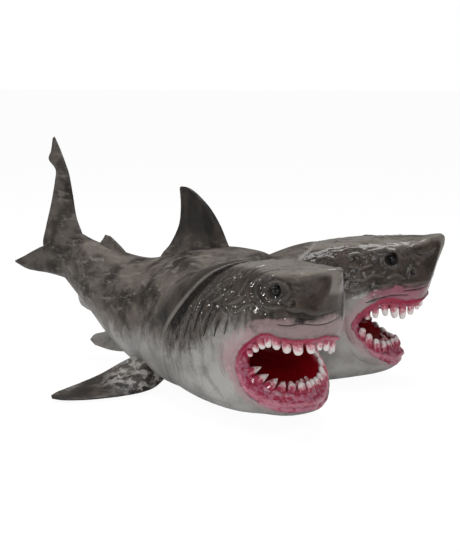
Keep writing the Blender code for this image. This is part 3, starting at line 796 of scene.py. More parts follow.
def ringed_pits(places, ring, pit):
    """A pit (depth, radius) with a ring (height, radius, half width) round each place."""
    height = np.zeros(len(flat_skin))
    for place in places:
        away = np.linalg.norm(flat_skin - place, axis=1)
        height += ring[0] * np.exp(-((away - ring[1]) / ring[2]) ** 2)
        height -= pit[0] * np.exp(-(away / pit[1]) ** 2)
    return height


folds += ringed_pits(EYES, EYE_RING, EYE_PIT) + ringed_pits(NOSTRILS, NOSTRIL_RING, NOSTRIL_PIT)
folds = np.clip(folds, DEEPEST, HIGHEST).reshape(skin.shape[:2])
print("folds reach from", round(folds.min(), 2), "to", round(folds.max(), 2), "mm")

# %% [markdown]
# ## Wrinkled hide
# Between the drawn folds the figure's hide has finer wrinkles. They come from noise with narrow
# crests, stretched the way the folds run: over the crown from back to front, and up and down
# over the gills. The noise itself is bent by a slower noise, so that no crest runs straight.

# %% Wrinkles
def noise_at(points, size, seed=0.0):
    """Smooth noise from -1 to 1 at points in mm; size is the width of its lumps in mm, one per axis."""
    scaled = points / np.asarray(size, float) + seed
    return np.array([noise.noise(Vector(p)) for p in scaled])


def ridged(points, size, seed=0.0):
    """Noise with narrow crests, 0 to 1."""
    return np.clip(1 - np.abs(noise_at(points, size, seed)) * 3.5, 0, 1)


rows_of_skin, columns_of_skin = skin.shape[:2]
WARP_SIZE = 9
WARP_REACH = 3.0
warp = np.stack([noise_at(flat_skin, WARP_SIZE, seed) for seed in (3.0, 8.0, 15.0)], axis=1)
warped = flat_skin + warp * WARP_REACH
stations_along = np.repeat(np.arange(rows_of_skin) / ALONG, columns_of_skin)
lines_round = np.tile(np.arange(columns_of_skin) / ROUND, rows_of_skin)
from_crown = np.minimum(lines_round, LINES_ROUND - lines_round)
crown_part = ramp(-from_crown, -2.6, -1.2) * ramp(-stations_along, -4.9, -3.4)
gill_part = ramp(from_crown, 2.6, 4.0) * ramp(-from_crown, -8.4, -6.6) * ramp(-stations_along, -3.4, -1.8)
side_part = ramp(from_crown, 1.0, 2.0) * ramp(-from_crown, -4.4, -3.2) * ramp(-stations_along, -4.9, -3.9)
wrinkle = (crown_part * 0.34 * ridged(warped, (10, 3.0, 4), 1.0)
           + gill_part * 0.40 * ridged(warped, (2.6, 6, 12), 5.0)
           + side_part * 0.16 * ridged(warped, (5, 5, 3.6), 9.0))
wrinkle += 0.10 * (0.3 + crown_part + gill_part + side_part) * noise_at(warped, 1.7, 2.0)
wrinkle = wrinkle.reshape(skin.shape[:2])
print("wrinkles from", round(wrinkle.min(), 2), "to", round(wrinkle.max(), 2), "mm")

# %% [markdown]
# ## The rim of the lip
# The lip is a rounded rim with a groove behind it, and the lower lip has a second, wider roll.
# Both follow the distance to the lip and swell and shrink with noise. Folds and wrinkles fade
# out at the seam and at the lip, so that the skin still meets the collar and the lining.

# %% Rim and relief
row_share = np.arange(rows_of_skin) / ALONG
edge_hold = (ramp(row_share, 0.0, 0.12) * ramp(-row_share, -STATIONS, 0.25 - STATIONS))[:, None]
to_lip = np.linalg.norm(np.diff(skin, axis=0), axis=2)[::-1].cumsum(0)[::-1]
to_lip = np.concatenate([to_lip, np.zeros((1, columns_of_skin))])
crown_grid = from_crown.reshape(skin.shape[:2])
lumps = noise_at(flat_skin, 3.2, 21.0).reshape(skin.shape[:2])
upper_share = ramp(-crown_grid, -5.4, -4.6)
rim = 0.42 * np.exp(-((to_lip - 1.1) / 0.7) ** 2) - 0.30 * np.exp(-((to_lip - 2.9) / 0.8) ** 2)
rim += (1 - upper_share) * 0.32 * np.exp(-((to_lip - 4.8) / 1.0) ** 2)
relief = (folds + wrinkle) * edge_hold + rim * (1 + 0.8 * lumps)


def out_of_skin(grid):
    """Normals of the grid, turned so that they point away from the middle of the head."""
    normal = grid_normals(grid)
    middle = skin[4 * ALONG].mean(0)
    if ((grid[2 * ALONG] - middle) * normal[2 * ALONG]).sum() < 0:
        normal = -normal
    return normal


sculpted = skin + out_of_skin(skin) * relief[..., None]
print("relief from", round(relief.min(), 2), "to", round(relief.max(), 2), "mm")

# %% [markdown]
# ## Skin, neck and lining in one grid
# The real head runs back into its collar as a plug. A short neck does that here, so nothing
# shows through the seam. Neck, skin and lining are stacked into one grid, so that a paint can
# run over the lip with no break.

# %% Stack the rings of a head
neck = np.stack([resized(sculpted[0], -1.6) - np.array([3.0, 0, 0]),
                 resized(sculpted[0], -0.9) - np.array([0.5, 0, 0]), resized(sculpted[0], -0.25)])
head_grid = np.concatenate([neck, sculpted[1:], lining[1:]])
neck_rows = len(neck) - 1
lip_row = neck_rows + len(skin) - 1
row_number = np.arange(len(head_grid))[:, None] + np.zeros((1, columns_of_skin))
along_of = (row_number - neck_rows) / ALONG
into_mouth = np.clip((row_number - lip_row) / LINING_STEPS, 0, None)
round_share = np.arange(columns_of_skin) / ROUND
half_round = np.tile(np.minimum(round_share, LINES_ROUND - round_share), (len(head_grid), 1))
pad = ((neck_rows, len(head_grid) - neck_rows - len(skin)), (0, 0))
crease = np.pad(relief, pad)
from_lip = np.pad(to_lip, pad, mode="edge")
height_of = head_grid[..., 2]
along_mm = head_grid[..., 0]
print("a head has", len(head_grid), "rings, with the lip at ring", lip_row)

# %% [markdown]
# ## Lines that stay crisp
# A painted line thinner than a grid cell would blur if it were a mask. So each point keeps its
# signed distance to the nearest stroke, and the paint draws the line where that passes zero.

# %% Distances to the drawn lines
MARK_REACH = 3.0
NEAR_THIN = ("muzzle grooves", "gill slits", "thin lines")
NEAR_SOFT = ("gill crests", "throat folds", "cheek folds", "crown crests", "socket ring")
FAR_SOFT = ("side crests", "snout folds", "jaw folds")


def line_marks(points, normals, strokes):
    """Signed and plain distance in mm to the nearest line; the sign tells its two banks apart."""
    signed = np.full(len(points), MARK_REACH)
    gap = np.full(len(points), MARK_REACH)
    for side, stroke in strokes:
        line = stroke_line(stroke, side)
        if line is None:
            continue
        low, high = line.min(0) - MARK_REACH, line.max(0) + MARK_REACH
        near = np.nonzero(((points > low) & (points < high)).all(1))[0]
        for a, b in zip(line[:-1], line[1:]):
            ab = b - a
            t = np.clip(((points[near] - a) @ ab) / max(ab @ ab, 1e-9), 0, 1)
            away = points[near] - (a + t[:, None] * ab)
            far = np.linalg.norm(away, axis=1)
            bank = np.sign((np.cross(normals[near], ab) * away).sum(1))
            closer = far < gap[near]
            gap[near[closer]] = far[closer]
            signed[near[closer]] = (far * bank)[closer]
    return signed, gap


def strokes_of(folds, names, side):
    """Each stroke of these kinds, with the side it is read on."""
    return [(side, stroke) for name in names for stroke in folds[name][2]]


def on_whole_head(values):
    """Values of the skin, filled up for the neck and the lining."""
    return np.pad(values.reshape(skin.shape[:2]), pad, constant_values=MARK_REACH)


skin_normals = out_of_skin(skin).reshape(-1, 3)
thin_strokes = strokes_of(NEAR_FOLDS, NEAR_THIN, -1) + strokes_of(FAR_FOLDS, ("muzzle grooves",), 1)
soft_strokes = strokes_of(NEAR_FOLDS, NEAR_SOFT, -1) + strokes_of(FAR_FOLDS, FAR_SOFT, 1)
line_side, line_gap = map(on_whole_head, line_marks(flat_skin, skin_normals, thin_strokes))
fold_side, fold_gap = map(on_whole_head, line_marks(flat_skin, skin_normals, soft_strokes))
print(len(thin_strokes), "thin lines and", len(soft_strokes), "soft folds")

# %% [markdown]
# ## Where each paint goes on a head
# The painter's hand follows the sculpture: pink on the lips and red in the mouth. Painted light
# follows it too: the crown is painted lighter, as lit from above, raised crests paler and grooves
# darker as shade, and the seam gap and nostril pits nearly black as shade. Black round the eyes is
# partly their paint and partly painted shade in their hollows. Each mask is worked out from how
# far a point lies from the lip, how far round the head it is and how high. An image would do too,
# but it would need unwrapping.

# %% Paint masks of a head
def head_masks():
    """Paint masks from 0 to 1 on each point of a head."""
    upper = ramp(-half_round, -5.4, -4.6)
    inside = row_number > lip_row
    inner = ramp(round_share, 8.6, 9.4) * ramp(-round_share, -17.0, -15.0) + 0 * row_number
    outer_width = np.interp(half_round, [0, 4.6, 5.2, 6.0, 7.0, 8.0, 9.0],
                            [1.3, 1.3, 1.0, 1.6, 3.4, 5.2, 6.2])
    lip_width = outer_width + inner * upper * 2.0
    lips = ramp(-from_lip, -lip_width - 1.2, -lip_width + 0.8)
    gums = ramp(into_mouth, 0.2, 1.0)
    mouth = ramp(into_mouth, 2.2, 4.0)
    depth = ramp(into_mouth, 4.2, 7.2)
    corner = np.exp(-((half_round - 4.8) / 0.8) ** 2) * ramp(-from_lip, -20, -1)
    halo = np.clip(corner + ramp(-from_lip, -lip_width - 7, -lip_width) * (1 - upper) * 0.7, 0, 1)
    lips = np.where(inside, 1.0, lips)
    # A paler pink on the rounded rim of the lower lip: a painted sheen.
    rib = np.exp(-((from_lip - 1.0) / 0.7) ** 2) * (1 - upper) * (row_number <= lip_row)
    side_line = np.interp(along_mm, [50, 70, 85, 100, 110, 118, 150], [33, 37, 44, 57, 59, 52, 51])
    dark = ramp(height_of, side_line - 22, side_line + 10)
    on_side = ramp(-half_round, -7.6, -6.2) * ramp(half_round, 1.0, 1.8)
    rough_hide = dark * ramp(-along_mm, -116, -102) * on_side
    muzzle = ramp(-from_lip, -15.0, -8.5) * ramp(-half_round, -4.8, -3.6)
    # The crown mask lightens the top of the head: painted light from above.
    crown = ramp(-half_round, -1.35, -1.0) * ramp(height_of, 66, 69)
    # Round the eyes partly black paint, partly painted shade; in the nostril pits painted shade.
    socket = np.zeros(head_grid.shape[:2])
    for place in EYES:
        socket = np.maximum(socket, np.exp(-(np.linalg.norm(head_grid - place, axis=2) / 3.4) ** 4))
    pits = np.zeros(head_grid.shape[:2])
    for place in NOSTRILS:
        pits = np.maximum(pits, np.exp(-(np.linalg.norm(head_grid - place, axis=2) / 1.2) ** 4))
    # The seam mask paints the head's edge nearly black: painted shade in the gap at the seam.
    seam = ramp(-along_of, -0.60, -0.50) * ramp(height_of, 34, 44)
    # Crests of the relief get a painted highlight, and its grooves painted shade.
    groove = np.clip(-crease / 0.35, 0, 1)
    return {"dark": dark, "lips": lips, "gums": gums, "mouth": mouth, "depth": depth, "muzzle": muzzle,
            "crown": crown, "socket": np.maximum(socket, pits), "seam": seam,
            "crest": np.clip(crease / 0.5, 0, 1), "groove": np.where(inside, 0, groove),
            "line_side": line_side, "line_gap": line_gap, "rough_hide": rough_hide, "upper": upper,
            "halo": halo, "rib": rib, "inner": inner, "fold_side": fold_side, "fold_gap": fold_gap}


masks = head_masks()
print(len(masks), "masks:", ", ".join(masks))

# %% [markdown]
# ## Both heads
# The same grid is turned out to the right, and mirrored to the left. Mirroring swaps inside and
# outside, so the faces of the left head are turned over. Only the right head keeps the painted
# shade of the seam.

# %% Build both heads
heads = []
for side, name in ((-1, "right_head_skin"), (1, "left_head_skin")):
    points = to_frame(head_grid, side).reshape(-1, 3)
    last = (len(head_grid) - 1) * columns_of_skin
    cap = [list(range(last, last + columns_of_skin))]
    if side > 0:
        cap = [cap[0][::-1]]
    head = new_mesh(name, points, grid_faces(len(head_grid), columns_of_skin), side > 0, cap)
    for key, values in masks.items():
        set_mask(head, key, values.reshape(-1) * (side < 0 or key != "seam"))
    heads.append(head)
print("each head has", len(head_grid) * columns_of_skin, "points")

# %% [markdown]
# ## The rows of teeth
# The teeth are cast in one with the gums, and no two are alike. Each is given by how far it
# stands along its row, from the outer corner of the mouth (0) to the inner corner (1), with its
# length, its width and how far it leans in. An array modifier would make them too even. The
# profile of a tooth is its height and width in shares: a blunt peg, or a sharper blade.

# %% Rows and profiles
UPPER_TEETH = [
    (0.050, 2.6, 3.2, 0.25), (0.100, 3.2, 3.4, 0.25), (0.150, 3.9, 3.6, 0.25),
    (0.200, 4.4, 3.8, 0.2), (0.252, 4.6, 4.2, 0.2), (0.310, 4.7, 4.4, 0.15), (0.372, 4.9, 4.8, 0.1),
    (0.434, 4.5, 3.8, 0.1), (0.484, 3.8, 3.0, 0.1), (0.530, 4.3, 3.4, 0.1), (0.580, 3.9, 3.4, 0.1),
    (0.634, 4.8, 3.8, 0.1), (0.690, 6.6, 4.0, 0.1), (0.746, 6.6, 4.0, 0.15), (0.802, 6.0, 3.8, 0.2),
    (0.858, 5.2, 3.6, 0.2), (0.915, 3.0, 3.2, 0.25),
]
LOWER_TEETH = [
    (0.095, 5.0, 4.2, 2.0), (0.165, 5.6, 4.8, 1.9), (0.240, 5.6, 5.0, 1.6), (0.312, 4.8, 4.4, 1.1),
    (0.377, 4.0, 3.8, 0.8), (0.438, 3.9, 3.6, 0.5), (0.500, 3.8, 3.6, 0.4), (0.560, 3.9, 3.6, 0.5),
    (0.625, 4.2, 3.6, 0.6), (0.695, 5.0, 3.8, 0.6), (0.770, 5.6, 4.2, 0.6), (0.845, 5.8, 4.2, 0.6),
    (0.915, 5.2, 3.8, 0.7),
]
INNER_TEETH = [
    (0.36, 2.8, 2.4, 0.9), (0.43, 3.0, 2.6, 0.8), (0.50, 2.6, 2.4, 0.7), (0.57, 3.0, 2.6, 0.8),
    (0.64, 2.8, 2.4, 0.9),
]
PEG = [
    (-0.35, 1.10), (0.0, 1.04), (0.25, 1.0), (0.50, 0.95), (0.72, 0.86), (0.88, 0.68), (0.96, 0.42),
    (1.0, 0.04),
]
BLADE = [
    (-0.35, 1.10), (0.0, 1.04), (0.22, 0.92), (0.45, 0.72), (0.68, 0.48), (0.86, 0.26),
    (0.96, 0.12), (1.0, 0.02),
]
print("teeth above, below and inside:", len(UPPER_TEETH), len(LOWER_TEETH), len(INNER_TEETH))

# %% [markdown]
# ## One tooth, and places along the gum
# A tooth is a stack of slightly fluted ovals that narrows by its profile and bends a little
# towards the tip. Places along the gum are measured by length, so that they keep their spacing
# round the bend of the jaw.

# %% Shape one tooth
TOOTH_ROUND = 20
FLUTING = 0.05


def tooth_grid(base, direction, across, length, width, thickness, bend, outline):
    direction = direction / np.linalg.norm(direction)
    across = across - direction * (across @ direction)
    across = across / np.linalg.norm(across)
    through = np.cross(direction, across)
    profile = smooth_through(outline, 3)
    a = np.linspace(0, 2 * math.pi, TOOTH_ROUND, endpoint=False)
    fluting = 1 + FLUTING * np.cos(4 * a + length * 7)
    rings = []
    for height, size in profile:
        curve = through * bend * max(height, 0) ** 2 * length
        rings.append(base + direction * length * height + curve
                     + across * (np.cos(a) * width / 2 * size * fluting)[:, None]
                     + through * (np.sin(a) * thickness / 2 * size * fluting)[:, None])
    return np.array(rings), profile[:, 0]


def spaced(curve, places):
    """Points and directions at these shares of the way along a curve."""
    steps = np.linalg.norm(np.diff(curve, axis=0), axis=1)
    run = np.concatenate([[0], np.cumsum(steps)])

    def point(share):
        return np.stack([np.interp(share * run[-1], run, curve[:, a]) for a in range(3)], axis=-1)

    places = np.asarray(places, float)
    return point(places), point(places + 0.01) - point(places - 0.01)


print("a tooth is drawn from", len(smooth_through(PEG, 3)), "ovals")

# %% [markdown]
# ## Set the teeth
# The upper teeth hang from one ring of the gum. The lower teeth stand on the crest of the gum,
# which lies nearer the lip on the inner side. A short third row stands behind them. Each tooth
# leans towards the middle of the mouth and a little to one side.

# %% Set the teeth on the gums
UPPER_RING = 17
LOWER_RING = 24
LOWER_INNER_RING = 12
THIRD_RING = 35
CORNER_LINE = 5
BLADES_UP_TO = 0.35
TOOTH_DEPTH = 0.66
TOOTH_BEND = 0.07
FULL_TOOTH = 4.6


def all_teeth():
    hanging, wall = lining[UPPER_RING], lining[THIRD_RING]
    inner = ramp(round_share, 9.6, 12.0)[:, None]
    standing = lining[LOWER_RING] * (1 - inner) + lining[LOWER_INNER_RING] * inner
    corner = CORNER_LINE * ROUND
    upper = [c % columns_of_skin for c in range(-corner, corner + 1)][::-1]
    lower = list(range(corner, columns_of_skin - corner + 1))
    shapes = []
    rows = ((hanging, upper, UPPER_TEETH, -1.0), (standing, lower, LOWER_TEETH, 0.95),
            (wall, lower, INNER_TEETH, 1.0))
    for ring, columns, row, upright in rows:
        at, along = spaced(ring[columns], [tooth[0] for tooth in row])
        for k, (share, length, width, inward) in enumerate(row):
            level = (MOUTH_CENTRE - at[k]) * (1, 1, 0)
            level /= np.linalg.norm(level)
            sideways = along[k] / np.linalg.norm(along[k]) * 0.16 * math.sin(share * 91)
            direction = np.array((0.08, 0, upright)) + level * inward + sideways
            outline = BLADE if row is LOWER_TEETH and share < BLADES_UP_TO else PEG
            size = (length, width, width * TOOTH_DEPTH)
            shapes.append(tooth_grid(at[k], direction, along[k], *size, TOOTH_BEND, outline))
    return shapes


teeth_shapes = all_teeth()
teeth = []
for side, name in ((-1, "right_teeth"), (1, "left_teeth")):
    points, quads, tips = [], [], []
    for grid, heights in teeth_shapes:
        rows, columns = grid.shape[:2]
        quads.append(grid_faces(rows, columns) + sum(len(p) for p in points))
        points.append(to_frame(grid, side).reshape(-1, 3))
        grown = min(1.0, np.ptp(grid[:, 0], axis=0).max() / FULL_TOOTH)
        tips.append(np.repeat(heights * grown ** 2, columns))
    thing = new_mesh(name, np.concatenate(points), np.concatenate(quads), side > 0)
    set_mask(thing, "tip", np.concatenate(tips))
    teeth.append(thing)
print(len(teeth_shapes), "teeth in each head")

# %% [markdown]
# ## The eyes
# An eye is a small ball cast into the head and painted gloss black. It is a ball here too, sunk
# until a low dome shows, because a painted spot would catch no round glint.

# %% Make the eyes
EYE_RADIUS = 2.5
EYE_SINK = 1.3
EYE_ROWS = 20
EYE_COLUMNS = 32
eyes = []
for side, name in ((-1, "right_head_eyes"), (1, "left_head_eyes")):
    points, quads = [], []
    for place in EYES:
        a = np.linspace(0, 2 * math.pi, EYE_COLUMNS, endpoint=False)[None, :]
        b = np.linspace(0.02, math.pi - 0.02, EYE_ROWS)[:, None]
        ball = np.stack([np.sin(b) * np.cos(a), np.cos(b) + 0 * a, np.sin(b) * np.sin(a)], axis=-1)
        ball = ball * EYE_RADIUS + place - np.array((0, math.copysign(EYE_SINK, place[1]), 0))
        quads.append(grid_faces(EYE_ROWS, EYE_COLUMNS) + EYE_ROWS * EYE_COLUMNS * len(points))
        points.append(to_frame(ball, side).reshape(-1, 3))
    eyes.append(new_mesh(name, np.concatenate(points), np.concatenate(quads), side < 0))
print("eyes at", [place.round(1).tolist() for place in EYES])

# %% [markdown]
# ## Where each paint goes on the body
# The back is sprayed dark and the belly is pale, with a ragged border between them. The big
# fins grow darker away from the body, and the root of each pectoral fin is mottled. The rim of
# the right collar gets a painted highlight, and the hide just behind it painted shade. Heights
# and distances in millimetres are enough to say so.

# %% Paint masks of the body and fins
def border_height(x):
    """Height of the line between the dark back and the pale belly, at each place along the body."""
    return np.interp(x, [-110, -80, -60, -40, -20, 0, 20, 45, 80], [38, 42, 42, 33, 28, 28, 32, 35, 36])


def body_masks(points, kind):
    x, y, z = (points - SHIFT).T
    out = np.abs(y)
    dark = ramp(z, border_height(x) - 20, border_height(x) + 14)
    fin = 0.25 * ramp(-x, 52, 78)
    edge = np.zeros(len(points))
    patch = np.zeros(len(points))
    if kind == "body":
        gap = distance_to_seam(points)
        # Painted shade on the hide just behind the right seam, carried in the fin mask.
        shade_behind_seam = ramp(-gap, -22, -4) * ramp(z, 30, 46) * (y < 0)
        fin = np.maximum(fin, 0.85 * shade_behind_seam)
        # A painted highlight along the rim of the collars.
        edge = ramp(-gap, -2.6, -1.2) * ramp(z, 24, 44)
    if kind == "dorsal":
        fin = np.maximum(fin, ramp(z, 66, 80))
    if kind == "second":
        fin = np.zeros(len(points))
    if kind == "pectoral":
        dark = np.maximum(dark, ramp(out, 26, 36))
        fin = 0.85 * ramp(out, 34, 50)
        root = ramp(-out, -62, -42) * ramp(x, -6, 6)
        patch = root + 0.8 * ramp(-x, 6, 14) * ramp(-out, -80, -60)
    if kind == "low":
        dark = np.maximum(dark, 0.45 * ramp(out, 12, 18))
    return {"dark": dark, "fin": fin, "edge": edge, "patch": patch}


KINDS = {"body_skin": "body", "dorsal": "dorsal", "second": "second", "tail": "tail",
         "right_pectoral": "pectoral", "left_pectoral": "pectoral"}
for thing in [body_skin] + fin_objects:
    kind = next((KINDS[key] for key in KINDS if thing.name.startswith(key)), "low")
    for key, values in body_masks(points_of(thing), kind).items():
        set_mask(thing, key, values)
print("body masks set on", 1 + len(fin_objects), "pieces")

# %% [markdown]
# ## Helpers for node paints
# The figure is sprayed and brushed by hand, so its colours run unevenly into each other. Nodes
# paint that at any scale with no image. Writing them one by one is long, so each helper adds one
# node and returns its socket: a mask read from the points, noise with a size in millimetres, a
# band that turns a value into a share, a mix of two paints, and a bump with a depth.

# %% Helpers for materials
class Paint:
    """A material under construction; each helper returns a socket."""

    def __init__(self, name):
        self.material = bpy.data.materials.new(name)
        self.material.use_nodes = True
        self.nodes = self.material.node_tree.nodes
        self.links = self.material.node_tree.links
        self.shader = self.nodes["Principled BSDF"]
        self.place = self.nodes.new("ShaderNodeTexCoord").outputs["Object"]

    def feed(self, socket, value):
        if hasattr(value, "is_linked"):
            self.links.new(value, socket)
        elif isinstance(value, (tuple, list)) and len(value) == 3 and len(socket.default_value) == 4:
            socket.default_value = (*value, 1)
        else:
            socket.default_value = value

    def mask(self, name):
        node = self.nodes.new("ShaderNodeAttribute")
        node.attribute_name = name
        return node.outputs["Fac"]

    def noise(self, size_mm, detail=3.0, rough=0.55, stretch=(1, 1, 1), distortion=0.0):
        squeeze = self.nodes.new("ShaderNodeMapping")
        squeeze.inputs["Scale"].default_value = stretch
        self.links.new(self.place, squeeze.inputs["Vector"])
        node = self.nodes.new("ShaderNodeTexNoise")
        node.inputs["Scale"].default_value = 1000 / size_mm
        node.inputs["Detail"].default_value = detail
        node.inputs["Roughness"].default_value = rough
        node.inputs["Distortion"].default_value = distortion
        self.links.new(squeeze.outputs["Vector"], node.inputs["Vector"])
        return node.outputs["Fac"]

    def math(self, operation, a, b=0.0):
        node = self.nodes.new("ShaderNodeMath")
        node.operation = operation
        self.feed(node.inputs[0], a)
        self.feed(node.inputs[1], b)
        return node.outputs["Value"]

    def times(self, a, b):
        return self.math("MULTIPLY", a, b)

    def plus(self, a, b):
        return self.math("ADD", a, b)

    def band(self, value, low, high, start=0.0, end=1.0):
        node = self.nodes.new("ShaderNodeMapRange")
        node.interpolation_type = "SMOOTHSTEP"
        self.feed(node.inputs["Value"], value)
        for key, number in (("From Min", low), ("From Max", high), ("To Min", start), ("To Max", end)):
            node.inputs[key].default_value = number
        return node.outputs["Result"]

    def mix(self, share, a, b):
        node = self.nodes.new("ShaderNodeMix")
        node.data_type = "RGBA"
        self.feed(node.inputs["Factor"], share)
        self.feed(node.inputs["A"], a)
        self.feed(node.inputs["B"], b)
        return node.outputs["Result"]

    def bump(self, height, depth_mm, before=None):
        node = self.nodes.new("ShaderNodeBump")
        node.inputs["Distance"].default_value = depth_mm * MM
        node.inputs["Strength"].default_value = 1.0
        self.links.new(height, node.inputs["Height"])
        if before is not None:
            self.links.new(before, node.inputs["Normal"])
        return node.outputs["Normal"]

    def wear(self, inputs):
        """Feed these inputs of the shader and hand back the finished material."""
        for key, value in inputs.items():
            self.feed(self.shader.inputs[key], value)
        return self.material


print("helpers:", ", ".join(name for name in vars(Paint) if not name.startswith("_")))

# %% [markdown]
# ## Colours
# The paints are warm greys and browns over the hide, pinks round the mouth and deep reds in it.
# They were judged from the photograph and then corrected until the render came close to it.
# Each is a share of red, green and blue light.
# Some also serve for painted light: pale greys and pink for highlights, the darkest for shade.

# %% Colours of the paints
NEARLY_BLACK = (0.008, 0.006, 0.005)
DARK_BROWN = (0.016, 0.011, 0.008)
SIDE_BROWN = (0.048, 0.034, 0.025)
BACK_BROWN = (0.112, 0.094, 0.080)
MID_BROWN = (0.072, 0.056, 0.044)
WORN_AND_LIT_CROWN_GREY = (0.200, 0.178, 0.155)
WORN_AND_HIGHLIGHT_GREY = (0.240, 0.222, 0.200)
BELLY_GREY = (0.250, 0.242, 0.230)
PALE_GREY = (0.390, 0.380, 0.366)
LIP_PINK = (0.460, 0.165, 0.235)
CRIMSON = (0.330, 0.018, 0.058)
MOUTH_RED = (0.270, 0.004, 0.009)
THROAT_RED = (0.200, 0.003, 0.006)
HALO_PINK = (0.410, 0.255, 0.275)
DEEP_PINK = (0.330, 0.120, 0.165)
MUZZLE_PINK = (0.300, 0.215, 0.215)
IVORY = (0.74, 0.68, 0.66)
TOOTH_PINK_AND_LIP_SHEEN = (0.58, 0.22, 0.27)
EYE_BLACK = (0.003, 0.003, 0.003)
EYE_BROWN = (0.007, 0.006, 0.005)
print("darkest and palest grey:", NEARLY_BLACK, PALE_GREY)

# %% [markdown]
# ## The sprayed hide
# The maker sprays the back dark over a pale belly. Two noises, one broad and one in upright
# streaks, push the border up and down, which makes it ragged. The back gets blotches and long
# scuffs, and the belly gets soft clouds.

# %% Grey hide
def hide_colour(paint, dark):
    """Colour of the hide, and how far each place belongs to the dark back."""
    ragged = paint.math("SUBTRACT", paint.noise(8.0, 5.0, 0.62, (1, 1, 0.7), 0.5), 0.5)
    streaks = paint.math("SUBTRACT", paint.noise(2.4, 3.0, 0.6, (1, 1, 0.32), 0.3), 0.5)
    shifted = paint.plus(dark, paint.times(ragged, 0.95))
    shifted = paint.plus(shifted, paint.times(streaks, 0.45))
    back_share = paint.band(shifted, 0.20, 0.80)
    blotch = paint.band(paint.noise(12.0, 4.0, 0.6), 0.36, 0.66)
    back = paint.mix(blotch, BACK_BROWN, DARK_BROWN)
    scuffs = paint.band(paint.noise(3.0, 4.0, 0.6, (0.30, 1, 1), 0.4), 0.54, 0.70, 0.0, 0.7)
    back = paint.mix(scuffs, back, WORN_AND_LIT_CROWN_GREY)
    belly = paint.mix(paint.band(paint.noise(14.0, 4.0), 0.35, 0.65), BELLY_GREY, PALE_GREY)
    return paint.mix(back_share, belly, back), back_share


print("the hide has a back, a belly and a ragged border")

# %% [markdown]
# ## Paint of the body and fins
# Over the hide come worn places, the darker fins with their streaks, the painted shade behind
# the right collar, the mottled roots of the pectoral fins and the painted highlight on the rim of
# the collar. The body is only half glossy. Two bumps stand for the brushed hide and its fine grain.

# %% Body paint
def body_material():
    paint = Paint("painted_grey_body")
    colour, share = hide_colour(paint, paint.mask("dark"))
    worn = paint.band(paint.noise(6.0, 4.0, 0.65, (0.35, 1, 1), 0.3), 0.52, 0.74)
    colour = paint.mix(paint.times(paint.times(worn, 0.5), share), colour, WORN_AND_LIT_CROWN_GREY)
    streaks = paint.band(paint.noise(11.0, 3.0, 0.5, (1, 1, 0.40)), 0.46, 0.70)
    fin_dark = paint.mix(streaks, NEARLY_BLACK, SIDE_BROWN)
    # The fin mask also carries the painted shade behind the right collar.
    colour = paint.mix(paint.times(paint.mask("fin"), share), colour, fin_dark)
    mottled = paint.band(paint.noise(4.0, 4.0, 0.65), 0.44, 0.60)
    patch = paint.times(paint.mask("patch"), mottled)
    colour = paint.mix(paint.times(patch, 0.85), colour, PALE_GREY)
    # Painted highlight on the collar rim.
    colour = paint.mix(paint.times(paint.mask("edge"), 0.75), colour, WORN_AND_HIGHLIGHT_GREY)
    brushed = paint.bump(paint.noise(5.0, 4.0, 0.6, (0.4, 1, 1), 0.4), 0.8)
    return paint.wear({
        "Base Color": colour,
        "Roughness": paint.band(paint.noise(5.0, 3.0), 0.3, 0.7, 0.42, 0.60),
        "Specular IOR Level": 0.30,
        "Coat Weight": 0.05,
        "Coat Roughness": 0.25,
        "Normal": paint.bump(paint.noise(1.1, 2.0), 0.05, brushed),
    })


hide = body_material()
print("body paint has", len(hide.node_tree.nodes), "nodes")

# %% [markdown]
# ## Layers of paint on a head
# A head is painted in layers, as by hand: first the hide with its painted light on the crown,
# crests and grooves, then the pink muzzle and the halo round the mouth, then the folds, lines,
# seam and sockets, mostly painted shade and highlight, and last the lips, gums and throat. Each
# layer is a function that takes the colour so far and gives it back changed.

# %% Head hide
def head_hide(paint):
    """Dark sides, a greyer crown, and worn, veined and stained skin at the gills."""
    colour, share = hide_colour(paint, paint.mask("dark"))
    brown = paint.band(paint.noise(7.0, 4.0, 0.6), 0.36, 0.64)
    side_dark = paint.mix(brown, DARK_BROWN, SIDE_BROWN)
    colour = paint.mix(paint.times(share, 0.92), colour, side_dark)
    # The crown is painted lighter, as lit from above, with worn streaks in it.
    worn = paint.band(paint.noise(5.0, 4.0, 0.6, (0.35, 1, 1), 0.4), 0.28, 0.56)
    crown = paint.mix(worn, MID_BROWN, WORN_AND_LIT_CROWN_GREY)
    colour = paint.mix(paint.times(paint.mask("crown"), 0.90), colour, crown)
    rough_hide = paint.mask("rough_hide")
    middle = paint.math("SUBTRACT", paint.noise(3.6, 2.0, 0.5, (1, 1, 0.55), 1.2), 0.5)
    veins = paint.band(paint.math("ABSOLUTE", middle), 0.0, 0.045, 1.0, 0.0)
    veins = paint.times(veins, rough_hide)
    colour = paint.mix(paint.times(veins, 0.30), colour, WORN_AND_HIGHLIGHT_GREY)
    stain = paint.band(paint.noise(4.5, 4.0, 0.65, (1, 1, 0.6), 0.6), 0.52, 0.66)
    stain = paint.times(paint.times(stain, rough_hide), 0.75)
    colour = paint.mix(stain, colour, DARK_BROWN)
    # Painted highlight on raised crests, painted shade in grooves.
    colour = paint.mix(paint.times(paint.mask("crest"), 0.15), colour, WORN_AND_HIGHLIGHT_GREY)
    colour = paint.mix(paint.times(paint.mask("groove"), 0.40), colour, NEARLY_BLACK)
    return colour, rough_hide, veins


def pink_skin(paint, colour, uneven):
    """The muzzle between its grooves, pinker on the inner side, and the halo round the mouth."""
    muzzle = paint.band(paint.plus(paint.mask("muzzle"), uneven), 0.1, 1.0, 0.0, 0.85)
    muzzle_pink = paint.mix(paint.mask("inner"), MUZZLE_PINK, DEEP_PINK)
    colour = paint.mix(muzzle, colour, muzzle_pink)
    halo = paint.band(paint.plus(paint.mask("halo"), uneven), 0.15, 1.0, 0.0, 0.80)
    return paint.mix(halo, colour, HALO_PINK)


print("hide and pink layers are ready")
